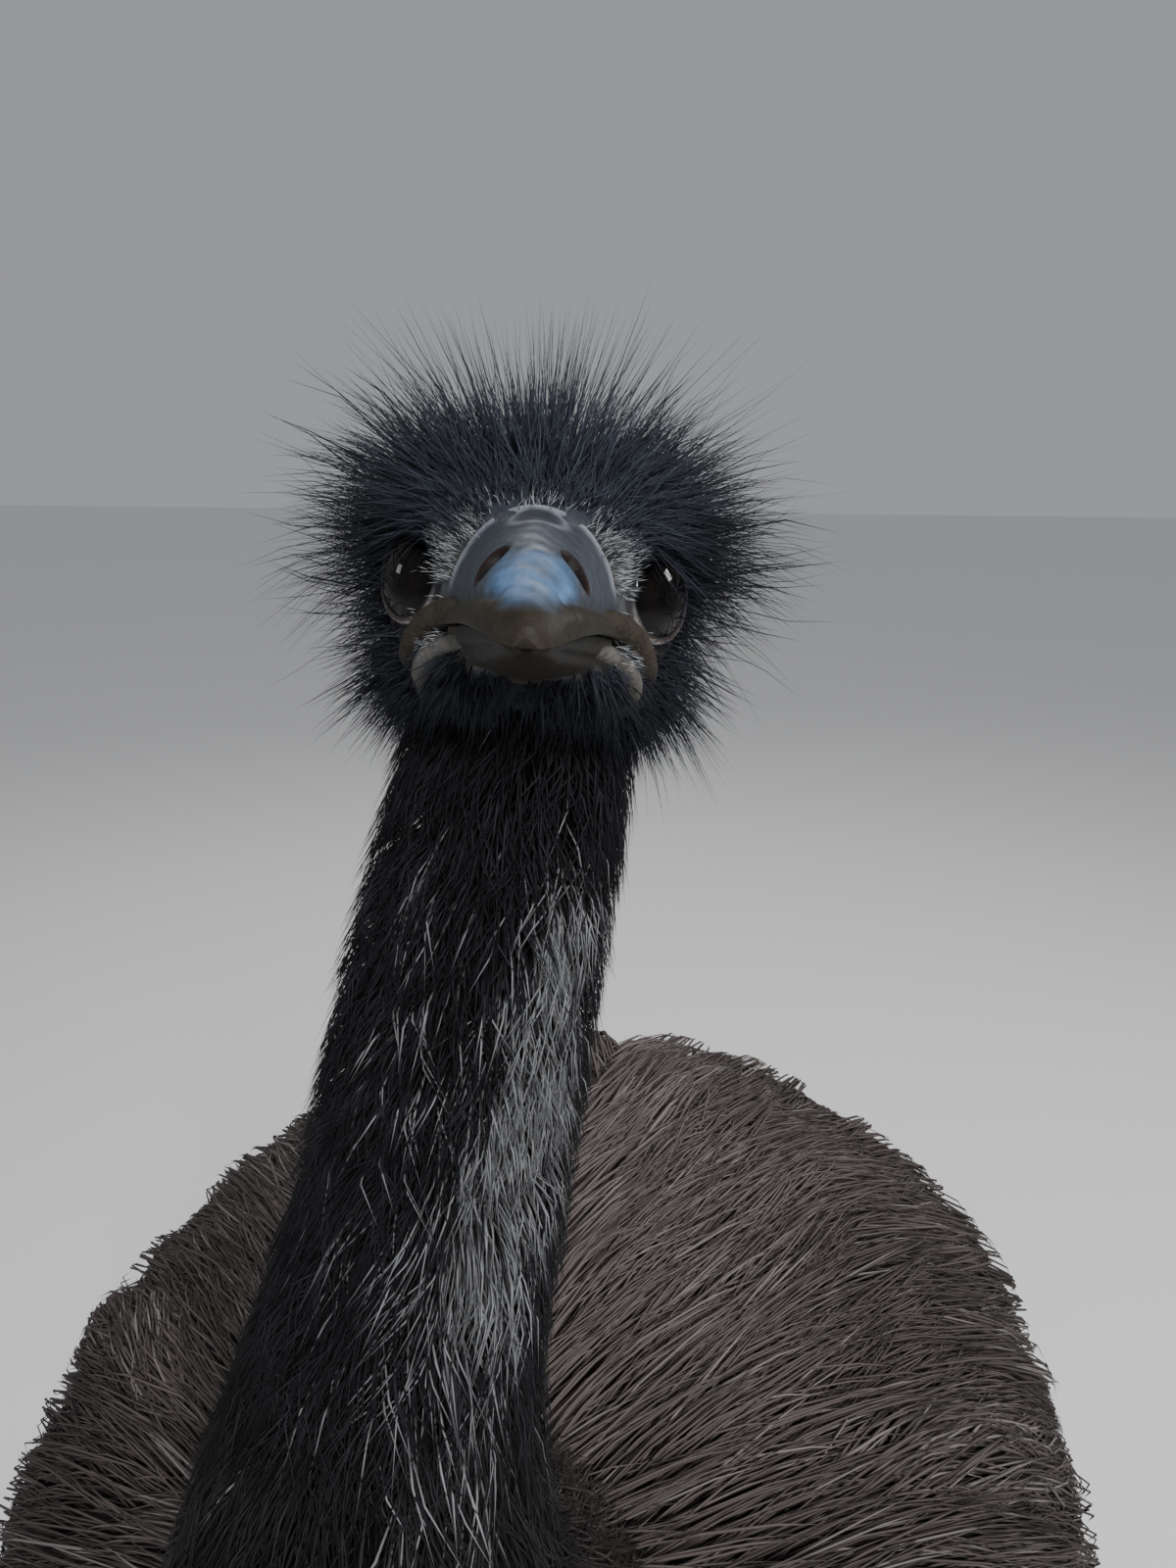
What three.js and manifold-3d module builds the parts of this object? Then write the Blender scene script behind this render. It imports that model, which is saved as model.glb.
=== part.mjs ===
// A life-size emu, standing on both feet with its neck raised and its head turned towards its left.
// Millimetres, +Z up. The bird faces -Y, its left side is +X, and it stands on the plane z = 0.
import * as THREE from "three";
import { mergeVertices } from "three/addons/utils/BufferGeometryUtils.js";
import Module from "manifold-3d";

const wasm = await Module();
wasm.setup();

// Driving sizes of the bird.
const BACK_HEIGHT = 882;
const BELLY_HEIGHT = 508;
const BODY_HALF_WIDTH = 308;
const EYE_HEIGHT = 1214;
const HOCK_HEIGHT = 405;
const FOOT_SPREAD = 114;
const FOOT_Y = -16;
const STRIDE = 34;
const GAP = 0.3;
const FREE = GAP + 0.1;
const LOCK_FREE = 0.7;

// How deep the loose plumage stands over the firm core of each form.
const BODY_COAT = 24;
const NECK_COAT = 13;
const THIGH_COAT = 12;

// The outline of the body with its plumage, from the chest to the drooping tail: y, top as a share of
// the back's height, bottom as a share of the belly's height, half width as a share of the body's.
const BODY_OUTLINE = [
  [-428, 0.79, 1.4, 0.04],
  [-418, 0.83, 1.3, 0.2],
  [-385, 0.885, 1.18, 0.42],
  [-320, 0.94, 1.085, 0.68],
  [-220, 0.985, 1.03, 0.9],
  [-110, 1.0, 1.0, 0.99],
  [0, 0.992, 0.99, 1.0],
  [110, 0.955, 0.99, 0.96],
  [205, 0.9, 1.0, 0.86],
  [285, 0.825, 1.01, 0.72],
  [350, 0.75, 1.025, 0.55],
  [405, 0.675, 1.035, 0.34],
  [440, 0.61, 1.05, 0.07],
];
const BODY_FRONT = BODY_OUTLINE[0][0];
const BODY_REAR = BODY_OUTLINE.at(-1)[0];
const BODY_WAIST = 0.46;
const BODY_POWER = 2.2;
const BACK_CREST = 1.6;
const BELLY_LINE = 690;
const TAIL_START = { y: 230, z: 690, lean: 0.5 };
// The ends of the body's middle line, and a distance that lies beyond its surface everywhere.
const AXIS = { front: -235, rear: 240 };
const BEYOND = 500;

// The neck's middle line from inside the chest up to the skull, and its half width along it.
const NECK_LINE = [
  [0, -235, 725],
  [2, -300, 778],
  [2, -350, 846],
  [2, -364, 912],
  [9, -352, 977],
  [21, -338, 1041],
  [31, -328, 1101],
  [41, -313, 1158],
  [46, -301, 1196],
];
const NECK_RADII = [
  [0, 108],
  [0.2, 88],
  [0.34, 69],
  [0.48, 53],
  [0.62, 45],
  [0.78, 41],
  [0.9, 38],
  [1, 34],
];
// Where the neck is parted between its three lengths.
const NECK_PARTS = { base: 0.46, middle: 0.66 };
const NECK_FLATTEN = 0.95;

// The head's place and pose. Its own frame faces -Y, with its origin midway between the eyes.
const HEAD_PLACE = new THREE.Vector3(50.5, -324.5, EYE_HEIGHT);
const HEAD_TURN_DEG = 12.5;
const HEAD_LIFT_DEG = 11.6;
const HEAD_TILT_DEG = 5;

// The skull's outline: y, top, bottom, half width.
const HEAD_OUTLINE = [
  [55, 2, -8, 5],
  [52, 10, -16, 13],
  [42, 20, -25, 22.5],
  [25, 27, -31, 29],
  [8, 29, -33, 31],
  [-8, 26, -32, 31],
  [-20, 21, -29, 28],
  [-30, 15.5, -25, 20.5],
];
const HEAD_BACK = HEAD_OUTLINE[0][0];
const BILL_BASE = HEAD_OUTLINE.at(-1)[0];
const HEAD_PLACES = [0, 0.07, 0.18, 0.34, 0.5, 0.65, 0.8, 0.91, 1];
const HEAD_SIDES = 16;
const HEAD_POWER = 2.15;
const JAW_POWER = 4.4;
const HEAD_WAIST = 0.52;

// The bill's outlines: y, ridge or chin, mouth line, half width.
const UPPER_BILL = [
  [-30, 15.2, -13, 19.4],
  [-41, 10.6, -13, 17],
  [-53, 4.8, -13.5, 14.2],
  [-65, -1.2, -14.6, 11],
  [-74, -7, -16.2, 8],
  [-79.5, -12, -17.8, 4.6],
  [-81.5, -15, -18.4, 1.6],
];
const LOWER_BILL = [
  [-30, -24.6, -13, 18.4],
  [-42, -23.6, -13, 15.4],
  [-55, -22, -13.7, 12],
  [-66, -20.8, -14.8, 8.6],
  [-73, -20, -16.2, 5.4],
  [-76.5, -19, -17.4, 1.6],
];
const GAPE = [
  [-31, -13],
  [-24, -14.5],
  [-16, -18],
  [-9, -23],
];
const GAPE_SLIT = { inner: 17, outer: 45, half: 0.7 };
const GAPE_LIP = { high: 4.4, out: 3, sink: 5, tuck: 5 };
const BILL_SIDES = 8;
const BILL_ARCH = 0.9;

const EYE = { radius: 16, side: 24.2, back: 10.5, axisDeg: 48, opening: 10.4, lid: 1.6, proud: 8 };
const EYE_SIDES = { around: 14, along: 7 };
const EAR = { side: 26.2, back: 33, down: 12, radius: 5.4, hole: 3.4, depth: 5, rim: 1.2, lip: 0.8, floor: 1 };
const EAR_SIDES = 10;
const SOCKET_REACH = 30;
const NOSTRIL = { y: -55, side: 9.2, z: 0.6, length: 4.6, width: 2.1, depth: 5.5 };
const NOSTRIL_TURNS = [-24, 34, -14];

// The legs. The hock is the joint halfway down, and the shank runs from there to the ankle.
const LEG_TOP = { side: 98, y: -74, z: 640 };
const HOCK = { y: 50, inward: 6, stride: 0.55 };
const CALF = { share: 0.45, out: 6, ahead: 14 };
const ANKLE_HEIGHT = 44;
const THIGH_RADII = [
  [0, 80, 102],
  [0.3, 78, 96],
  [0.55, 60, 72],
  [0.8, 37, 43],
  [1, 23, 27],
];
// Below this share of the thigh the plumage thins to a short nap at the hock.
const THIGH_THINS = { from: 0.55, coat: 2 };
const SHANK_RADII = [
  [0, 21, 25],
  [0.05, 23, 27],
  [0.13, 16, 19],
  [0.25, 13.5, 16],
  [0.75, 13.5, 15],
  [0.93, 17, 16],
  [1, 20, 18],
];
const SHANK_KNOB = [0, 0.05, 0.12];
const SHANK_SCUTES = { from: 0.1, count: 9 };
const PAD = { top: [19, 17], bottom: [25, 22.5], rise: 6, power: 2.4 };
const PAD_PLACES = [0, 0.35, 0.8, 1];
const PAD_SIDES = 10;
const TOE_START = 52;
const TOES = [
  { name: "middle", length: 114, spreadDeg: 0, width: 12.5, scutes: 5 },
  { name: "inner", length: 72, spreadDeg: -31, width: 10.5, scutes: 3 },
  { name: "outer", length: 68, spreadDeg: 30, width: 10.5, scutes: 3 },
];
const TOE_TAPER = 0.72;
const TOE_ROOT = { from: 4, rise: 1.1, swell: 1.08 };
const TOE_SECTION = { high: 0.98, low: 1.2, power: 2.3 };
const TOE_PADS = { count: 3, swell: 0.07 };
const CLAW = { share: 0.24, root: 0.62, tip: 0.7, tipHeight: 1.2, bendAt: 0.55, bend: 0.22, low: 0.95 };
const OVERRUN = 2;
const SCUTE = { rise: 1.5, upper: 0.2, length: 0.93, front: 0.1 };
const LIMB_SIDES = 8;

const SIDES = [
  { side: 1, name: "left" },
  { side: -1, name: "right" },
];

const rad = THREE.MathUtils.degToRad;
const { lerp, clamp } = THREE.MathUtils;
const steps = (from, to, count) => {
  return Array.from({ length: count + 1 }, (_, i) => lerp(from, to, i / count));
};
const vector = (row) => new THREE.Vector3(...row);

// Numbers from 0 to 1 that are the same on every run.
const FACTOR = 16807;
const MODULUS = 2147483647;
let seed = 7;
function random() {
  seed = (seed * FACTOR) % MODULUS;
  return seed / MODULUS;
}
const vary = (value, share) => value * (1 + share * (2 * random() - 1));

// How much a lock's sizes vary, as shares of themselves.
const VARIES = { length: 0.07, du: 0.08, width: 0.08, lift: 0.12, flick: 0.5 };
function varied(shape) {
  const sizes = { ...shape };
  for (const [key, share] of Object.entries(VARIES)) {
    if (key in shape) sizes[key] = vary(shape[key], share);
  }
  return sizes;
}

// The smooth curve through rows of [place, values...], read at one place.
function rowAt(rows, place) {
  const last = rows.length - 1;
  const rising = rows[last][0] > rows[0][0];
  let i = 0;
  while (i < last - 1 && (rising ? place > rows[i + 1][0] : place < rows[i + 1][0])) i++;
  const [a, b] = [rows[i], rows[i + 1]];
  const [before, after] = [rows[Math.max(i - 1, 0)], rows[Math.min(i + 2, last)]];
  const span = b[0] - a[0];
  const t = clamp((place - a[0]) / span, 0, 1);
  const [t2, t3] = [t * t, t * t * t];
  return a.slice(1).map((value, k) => {
    const slopeA = ((b[k + 1] - before[k + 1]) / (b[0] - before[0])) * span;
    const slopeB = ((after[k + 1] - value) / (after[0] - a[0])) * span;
    const ends = (2 * t3 - 3 * t2 + 1) * value + (3 * t2 - 2 * t3) * b[k + 1];
    return ends + (t3 - 2 * t2 + t) * slopeA + (t3 - t2) * slopeB;
  });
}

// A closed solid from a geometry.
function solidOf(geometry) {
  const bare = new THREE.BufferGeometry();
  bare.setAttribute("position", geometry.getAttribute("position"));
  bare.setIndex(geometry.index);
  const merged = mergeVertices(bare, 1e-4);
  const vertProperties = merged.getAttribute("position").array;
  const triVerts = new Uint32Array(merged.index.array);
  return new wasm.Manifold(new wasm.Mesh({ numProp: 3, vertProperties, triVerts }));
}

// The flat-shaded geometry of a solid.
function geometryOf(solid) {
  const mesh = solid.getMesh();
  const geometry = new THREE.BufferGeometry();
  const points = new Float32Array(mesh.vertProperties);
  geometry.setAttribute("position", new THREE.BufferAttribute(points, 3));
  geometry.setIndex(new THREE.BufferAttribute(new Uint32Array(mesh.triVerts), 1));
  const flat = geometry.toNonIndexed();
  flat.computeVertexNormals();
  return flat;
}

const join = (solids) => wasm.Manifold.union(solids);

// The closed surface that holds the most of a solid.
function largest(solid) {
  const pieces = solid.decompose();
  return pieces.reduce((best, piece) => (piece.volume() > best.volume() ? piece : best));
}

function middleOf(points) {
  return points.reduce((sum, p) => sum.add(p), new THREE.Vector3()).divideScalar(points.length);
}

// The closed solid over a row of rings with as many points each. Each end closes on a point.
function loft(rings, start = middleOf(rings[0]), end = middleOf(rings.at(-1))) {
  const sides = rings[0].length;
  const points = [...rings.flat(), start, end];
  const faces = [];
  for (let i = 0; i + 1 < rings.length; i++) {
    for (let k = 0; k < sides; k++) {
      const a = i * sides + k;
      const b = i * sides + ((k + 1) % sides);
      faces.push([a, b, b + sides], [a, b + sides, a + sides]);
    }
  }
  const endRing = (rings.length - 1) * sides;
  for (let k = 0; k < sides; k++) {
    const next = (k + 1) % sides;
    faces.push([next, k, points.length - 2], [endRing + k, endRing + next, points.length - 1]);
  }
  const spans = faces.map(([a, b, c]) => points[a].dot(points[b].clone().cross(points[c])));
  const insideOut = spans.reduce((sum, span) => sum + span) < 0;
  const outward = insideOut ? faces.map(([a, b, c]) => [a, c, b]) : faces;
  const geometry = new THREE.BufferGeometry().setFromPoints(points);
  geometry.setIndex(outward.flat());
  return solidOf(geometry);
}

// A form swept along a line: ringAt(u) gives its rounded cross-section at u from 0 to 1.
class Form {
  constructor(ringAt) {
    this.ringAt = ringAt;
  }

  point(u, angle, lift = 0) {
    const { centre, side, up, wide, high, low, power, crest = power } = this.ringAt(clamp(u, 0, 1));
    const [c, s] = [Math.cos(angle), Math.sin(angle)];
    const square = 2 / (s > 0 ? crest : power);
    const across = (wide + lift) * Math.sign(c) * Math.abs(c) ** square;
    const above = ((s > 0 ? high : low) + lift) * Math.sign(s) * Math.abs(s) ** square;
    return centre.clone().addScaledVector(side, across).addScaledVector(up, above);
  }

  ring(u, sides, lift = 0) {
    return Array.from({ length: sides }, (_, k) => this.point(u, (2 * Math.PI * (k + 0.5)) / sides, lift));
  }

  solid(places, sides) {
    return loft(places.map((u) => this.ring(u, sides)));
  }

  // The room that the form takes from its neighbours: its solid grown all round, past both ends too.
  room(places, sides) {
    const rings = places.map((u) => this.ring(u, sides, FREE));
    const past = (ring, inner) => {
      const outward = middleOf(ring).sub(middleOf(inner)).setLength(FREE);
      return ring.map((p) => p.clone().add(outward));
    };
    return loft([past(rings[0], rings[1]), ...rings, past(rings.at(-1), rings.at(-2))]);
  }
}

// A form along a curve, with its side direction kept as near +X as it can be.
const NEARLY_ROUND = 2.1;
function formAlong(curve, radiiAt, power = NEARLY_ROUND) {
  const hint = new THREE.Vector3(1, 0, 0);
  return new Form((u) => {
    const along = curve.getTangent(u);
    const side = hint.clone().addScaledVector(along, -hint.dot(along)).normalize();
    const { wide, high, low = high } = radiiAt(u);
    return { centre: curve.getPoint(u), side, up: along.clone().cross(side), wide, high, low, power };
  });
}

// One flat, tapered lock with a low ridge. Its path at(t, rise) runs along the lie at a height over the
// form: the root is sunk in, the middle bends up and it ends in a point. A grown copy clears its room.
const LOCK_MIDDLE = { t: 0.52, rise: 0.66, thick: 0.8 };
const LOCK_ROOT_WIDTH = 0.72;
const OUTWARD = 5;
const GROWN = { ridge: 1.3, tip: 3 };
function lock({ at, width, thick, sink, lift, flick }, grow = 0) {
  const middleRise = lift * LOCK_MIDDLE.rise;
  const root = at(0, -sink);
  const middle = at(LOCK_MIDDLE.t, middleRise);
  const end = at(1, lift + flick);
  const ring = (p, outer, along, share, depth) => {
    const across = along.clone().cross(outer.clone().sub(p)).normalize();
    const over = across.clone().cross(along).normalize();
    const half = (width / 2) * share + grow;
    const edge = grow ? [-grow, grow] : [0];
    const section = [
      ...edge.map((height) => [half, height]),
      [0, depth + grow * GROWN.ridge],
      ...edge.toReversed().map((height) => [-half, height]),
    ];
    return section.map(([x, y]) => p.clone().addScaledVector(across, x).addScaledVector(over, y));
  };
  const rise = middle.clone().sub(root).normalize();
  const bend = end.clone().sub(root).normalize();
  const overMiddle = at(LOCK_MIDDLE.t, middleRise + OUTWARD);
  const first = ring(root, at(0, OUTWARD - sink), rise, LOCK_ROOT_WIDTH, thick);
  const second = ring(middle, overMiddle, bend, 1, thick * LOCK_MIDDLE.thick);
  const before = first.map((p) => p.clone().addScaledVector(rise, -grow));
  const onward = end.clone().sub(middle).normalize();
  const tip = end.clone().addScaledVector(onward, GROWN.tip * grow);
  return loft(grow ? [before, first, second] : [first, second], undefined, tip);
}
const withLocks = (core, specs) => largest(join([core, ...specs.map((spec) => lock(spec))]));
const roomFor = (specs) => join(specs.map((spec) => lock(spec, LOCK_FREE)));
function pathOver(form, u, angle, du, turn) {
  return (t, rise) => form.point(u + du * t, angle + turn * t, rise);
}

// The two sides of a plane, with half a gap left on each.
function aheadOf(solid, { normal, offset }) {
  return solid.trimByPlane(normal.toArray(), offset + GAP / 2);
}
function behind(solid, { normal, offset }) {
  return solid.trimByPlane(normal.clone().negate().toArray(), GAP / 2 - offset);
}
function planeThrough(point, direction) {
  const normal = direction.clone().normalize();
  return { normal, offset: normal.dot(point) };
}

// The body: one form from chest to tail.
const bodyForm = new Form((u) => {
  const y = lerp(BODY_FRONT, BODY_REAR, u);
  const [top, bottom, half] = rowAt(BODY_OUTLINE, y);
  const coat = Math.min(BODY_COAT, (half * BODY_HALF_WIDTH) / 2);
  const [high, low] = [top * BACK_HEIGHT, bottom * BELLY_HEIGHT];
  const widest = lerp(low, high, BODY_WAIST);
  return {
    centre: new THREE.Vector3(0, y, widest),
    side: new THREE.Vector3(1, 0, 0),
    up: new THREE.Vector3(0, 0, 1),
    wide: half * BODY_HALF_WIDTH - coat,
    high: high - widest - coat,
    low: widest - low - coat,
    power: BODY_POWER,
    crest: BACK_CREST,
  };
});
const BODY_PLACES = [0, 0.012, 0.05, ...steps(0.14, 1, 8)];
const BODY_SIDES = 12;
const bodyU = (y) => (y - BODY_FRONT) / (BODY_REAR - BODY_FRONT);

// The point over the body's surface towards a target, seen from the nearest point of its middle line.
function insideBody({ x, y, z }) {
  if (y <= BODY_FRONT || y >= BODY_REAR) return false;
  const { centre, wide, high, low, power, crest } = bodyForm.ringAt(bodyU(y));
  const above = z - centre.z;
  const square = above > 0 ? crest : power;
  const deep = above > 0 ? high : low;
  return (Math.abs(x) / wide) ** square + (Math.abs(above) / deep) ** square < 1;
}
const HALVINGS = 24;
function overBody(target, rise) {
  const axis = bodyForm.ringAt(bodyU(clamp(target.y, AXIS.front, AXIS.rear))).centre;
  const out = target.clone().sub(axis).normalize();
  let [inner, outer] = [0, BEYOND];
  for (let i = 0; i < HALVINGS; i++) {
    const reach = (inner + outer) / 2;
    if (insideBody(axis.clone().addScaledVector(out, reach))) inner = reach;
    else outer = reach;
  }
  return axis.addScaledVector(out, inner + rise);
}

// A root on the body at y, so many degrees down from the back and tilted to the front or to the rear.
function bodyRoot(side, { y, tilt = 0 }, down) {
  const [around, lean] = [rad(down), rad(tilt)];
  const level = new THREE.Vector3(side * Math.sin(around), 0, Math.cos(around));
  const out = level.multiplyScalar(Math.cos(lean)).setY(-Math.sin(lean));
  const axis = bodyForm.ringAt(bodyU(y)).centre;
  return { out, root: overBody(axis.clone().addScaledVector(out, BEYOND), 0) };
}

// The lie of the plumage: it parts along the back, runs backwards over the body and hangs at the breast,
// the flanks and the rump. The weights count where the surface faces up, ahead, sideways and back.
const LIE_OUT = { up: 0.42, ahead: 0.25 };
const LIE_BACK = { all: 1, ahead: -0.9, side: -0.25 };
const LIE_DOWN = { all: 0.1, ahead: 1.1, side: 0.75, back: 0.6 };
function lieAt(side, out) {
  const [up, ahead, back, beside] = [out.z, -out.y, out.y, Math.abs(out.x)].map((x) => Math.max(x, 0));
  const lie = new THREE.Vector3(
    side * (LIE_OUT.up * up + LIE_OUT.ahead * ahead),
    LIE_BACK.all + LIE_BACK.ahead * ahead + LIE_BACK.side * beside,
    -(LIE_DOWN.all + LIE_DOWN.ahead * ahead + LIE_DOWN.side * beside + LIE_DOWN.back * back),
  );
  return lie.addScaledVector(out, -lie.dot(out)).normalize();
}
function pathOnBody(root, lie, length) {
  return (t, rise) => overBody(root.clone().addScaledVector(lie, length * t), rise);
}

// Rows of locks over the body. Every second row is shifted by part of a step.
const BODY_LOCK = { length: 215, width: 92, thick: 8, sink: 12, lift: BODY_COAT * 0.8, flick: 4 };
const ROW_SPAN = { from: 10, to: 145 };
const ROW_SHIFTS = [0.18, 0.62];
function bodyLocks(rows) {
  return rows.flatMap(({ perSide, from = ROW_SPAN.from, to = ROW_SPAN.to, y, tilt, ...shape }, row) =>
    SIDES.flatMap(({ side }) =>
      steps(0, perSide - 1, perSide - 1).map((k) => {
        const down = lerp(from, to, (k + ROW_SHIFTS[row % 2]) / perSide);
        const { out, root } = bodyRoot(side, { y, tilt }, down);
        const sizes = varied({ ...BODY_LOCK, ...shape });
        return { ...sizes, root, at: pathOnBody(root, lieAt(side, out), sizes.length) };
      }),
    ),
  );
}

// Locks in rings round a neck or a leg, each row turned by half a step from the last.
const SCATTER = { along: 0.006, around: 0.12, turn: 0.14 };
function ringLocks(form, { from, to, rows, around, ...shape }) {
  const specs = [];
  for (let row = 0; row < rows; row++) {
    for (let k = 0; k < around; k++) {
      const u = lerp(from, to, row / (rows - 1)) + SCATTER.along * (random() - 0.5);
      const angle = (2 * Math.PI * (k + (row % 2) / 2 + SCATTER.around * random())) / around;
      const sizes = varied(shape);
      const turn = SCATTER.turn * (random() - 0.5);
      specs.push({ ...sizes, at: pathOver(form, u, angle, sizes.du, turn) });
    }
  }
  return specs;
}

// The head, in its own frame.
const headForm = new Form((u) => {
  const y = lerp(HEAD_BACK, BILL_BASE, u);
  const [top, bottom, wide] = rowAt(HEAD_OUTLINE, y);
  const middle = lerp(bottom, top, HEAD_WAIST);
  return {
    centre: new THREE.Vector3(0, y, middle),
    side: new THREE.Vector3(1, 0, 0),
    up: new THREE.Vector3(0, 0, 1),
    wide,
    high: top - middle,
    low: middle - bottom,
    power: JAW_POWER,
    crest: HEAD_POWER,
  };
});

const UP_Y = new THREE.Vector3(0, 1, 0);
function placed(geometry, axis, place) {
  geometry.applyQuaternion(new THREE.Quaternion().setFromUnitVectors(UP_Y, axis));
  return solidOf(geometry.translate(place.x, place.y, place.z));
}

// The eyeball, and the lids' opening as a cone about its axis.
const eyePlace = (side) => new THREE.Vector3(side * EYE.side, EYE.back, 0);
function eyeAxis(side) {
  const turn = rad(EYE.axisDeg);
  return new THREE.Vector3(side * Math.sin(turn), -Math.cos(turn), 0);
}
function eyeBall(side, radius) {
  const ball = new THREE.SphereGeometry(radius, EYE_SIDES.around, EYE_SIDES.along);
  return placed(ball, eyeAxis(side), eyePlace(side));
}
function eyeOpening(side) {
  const length = EYE.radius + EYE.proud;
  const cone = new THREE.ConeGeometry((EYE.opening * length) / EYE.radius, length, EYE_SIDES.around);
  cone.rotateX(Math.PI).translate(0, length / 2, 0);
  return placed(cone, eyeAxis(side), eyePlace(side));
}

// The ear's cup with its hollow, and the socket it sits in.
const earPlace = (side) => new THREE.Vector3(side * EAR.side, EAR.back, -EAR.down);
const earAxis = (side) => new THREE.Vector3(side, 0.28, -0.1).normalize();
function lathed(profile, side) {
  const outline = profile.map(([x, y]) => new THREE.Vector2(x, y));
  return placed(new THREE.LatheGeometry(outline, EAR_SIDES), earAxis(side), earPlace(side));
}
const earCup = (side) =>
  lathed(
    [
      [0, -EAR.depth],
      [EAR.radius, -EAR.depth],
      [EAR.radius, 0],
      [EAR.radius - EAR.lip, EAR.rim],
      [EAR.hole, 0],
      [EAR.hole - EAR.lip, EAR.floor - EAR.depth],
      [0, EAR.floor - EAR.depth],
    ],
    side,
  );
const earSocket = (side) =>
  lathed(
    [
      [0, -EAR.depth - GAP],
      [EAR.radius + GAP, -EAR.depth - GAP],
      [EAR.radius + GAP, SOCKET_REACH],
      [0, SOCKET_REACH],
    ],
    side,
  );

// The mouth line from the bill back to the gape, cut into each cheek as a thin blade.
function mouthSlit(side) {
  const { inner, outer, half } = GAPE_SLIT;
  const corners = [
    [inner, -half],
    [inner, half],
    [outer, half],
    [outer, -half],
  ];
  const section = (y, z) => corners.map(([x, dz]) => new THREE.Vector3(side * x, y, z + dz));
  return loft(GAPE.map(([y, z]) => section(y, z)));
}

// The fleshy lips of the gape on one side: a ridge along the mouth line, which the slit parts in two.
function gapeLips(side) {
  const { high, out, sink, tuck } = GAPE_LIP;
  const places = [[HEAD_OUTLINE.at(-1)[0] + GAP, GAPE[0][1]], ...GAPE.slice(1)];
  const [endY, endZ] = GAPE.at(-1);
  places.push([endY + tuck, endZ - tuck / 2]);
  const rings = places.map(([y, z], i) => {
    const { centre, wide, low } = headForm.ringAt((y - HEAD_BACK) / (BILL_BASE - HEAD_BACK));
    const skin = wide * (1 - ((centre.z - z) / low) ** JAW_POWER) ** (1 / JAW_POWER);
    const share = i === places.length - 1 ? 0 : 1;
    const corners = [
      [skin - sink, -high],
      [skin - sink, high],
      [skin + out * 0.4 * share, high * 0.8],
      [skin + out * share, 0],
      [skin + out * 0.4 * share, -high * 0.8],
    ];
    return corners.map(([x, dz]) => new THREE.Vector3(side * x, y, z + dz));
  });
  return loft(rings);
}

// Half of the bill. The upper half arches over the mouth line and the lower half hangs below it.
function bill(outline, away) {
  const rings = outline.map(([y, edge, mouth, half], i) => {
    const seam = mouth + (away * GAP) / 2;
    const place = i ? y : y - GAP;
    const arch = steps(0, Math.PI, BILL_SIDES).map((a) => {
      const height = seam + (edge - seam) * Math.sin(a) ** BILL_ARCH;
      return new THREE.Vector3(half * Math.cos(a), place, height);
    });
    return [...arch, new THREE.Vector3(0, place, seam)];
  });
  return loft(rings);
}
function nostril(side) {
  const { width, length, depth, y, z } = NOSTRIL;
  const [dip, splay, turn] = NOSTRIL_TURNS.map(rad);
  const hole = new THREE.SphereGeometry(1, 8, 6).scale(width, length, depth);
  hole.rotateX(dip).rotateY(side * splay).rotateZ(side * turn);
  return solidOf(hole.translate(side * NOSTRIL.side, y, z));
}

// The crown's loose bristly feathers, the brows that flare to the sides, and the cheeks: where they root
// along the head and round it in degrees, how far back they run, and how high they stand.
const TUFT = { thick: 4.5, sink: 5 };
const CROWN = { rows: 4, across: 5, from: 0.22, to: 0.82, edge: 42, back: 0.2, low: 20, high: 34 };
const CROWN_TUFT = { ...TUFT, width: 15, flick: 11 };
const BROW = { count: 3, from: 0.26, to: 0.62, degrees: 34, back: 0.07, droop: -0.34 };
const BROW_TUFT = { ...TUFT, lift: 27, width: 14, flick: 12 };
const CHEEK = { count: 3, from: 0.14, to: 0.4, degrees: -38, back: 0.1, droop: 0 };
const CHEEK_TUFT = { ...TUFT, lift: 20, width: 16, flick: 8 };
const TUFT_SCATTER = { degrees: 4, turn: 0.1 };
function headLocks() {
  const specs = [];
  const add = (u, degrees, back, droop, shape) => {
    const angle = rad(degrees + TUFT_SCATTER.degrees * (random() - 0.5));
    const turn = droop + TUFT_SCATTER.turn * (random() - 0.5);
    specs.push({ ...varied(shape), at: pathOver(headForm, u, angle, -back, turn) });
  };
  for (let row = 0; row < CROWN.rows; row++) {
    for (let k = 0; k < CROWN.across; k++) {
      const share = (k + (row % 2) / 2) / (CROWN.across - 0.5);
      const degrees = lerp(CROWN.edge, 180 - CROWN.edge, share);
      const lift = lerp(CROWN.low, CROWN.high, Math.sin(rad(degrees)) ** 3);
      const u = lerp(CROWN.from, CROWN.to, row / (CROWN.rows - 1));
      add(u, degrees, CROWN.back, 0, { ...CROWN_TUFT, lift });
    }
  }
  for (const { side } of SIDES) {
    const across = side > 0 ? 0 : 180;
    for (const u of steps(BROW.from, BROW.to, BROW.count - 1)) {
      add(u, across + side * BROW.degrees, BROW.back, side * BROW.droop, BROW_TUFT);
    }
    for (const u of steps(CHEEK.from, CHEEK.to, CHEEK.count - 1)) {
      add(u, across + side * CHEEK.degrees, CHEEK.back, side * CHEEK.droop, CHEEK_TUFT);
    }
  }
  return specs;
}
const crownLocks = headLocks();

function headSolid() {
  const skull = headForm.solid(HEAD_PLACES, HEAD_SIDES);
  const away = SIDES.flatMap(({ side }) => [
    eyeBall(side, EYE.radius + GAP),
    eyeOpening(side),
    earSocket(side),
    mouthSlit(side),
  ]);
  const lids = SIDES.map(({ side }) => eyeBall(side, EYE.radius + EYE.lid));
  const lips = SIDES.map(({ side }) => gapeLips(side));
  return largest(withLocks(join([skull, ...lids, ...lips]), crownLocks).subtract(join(away)));
}

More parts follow.
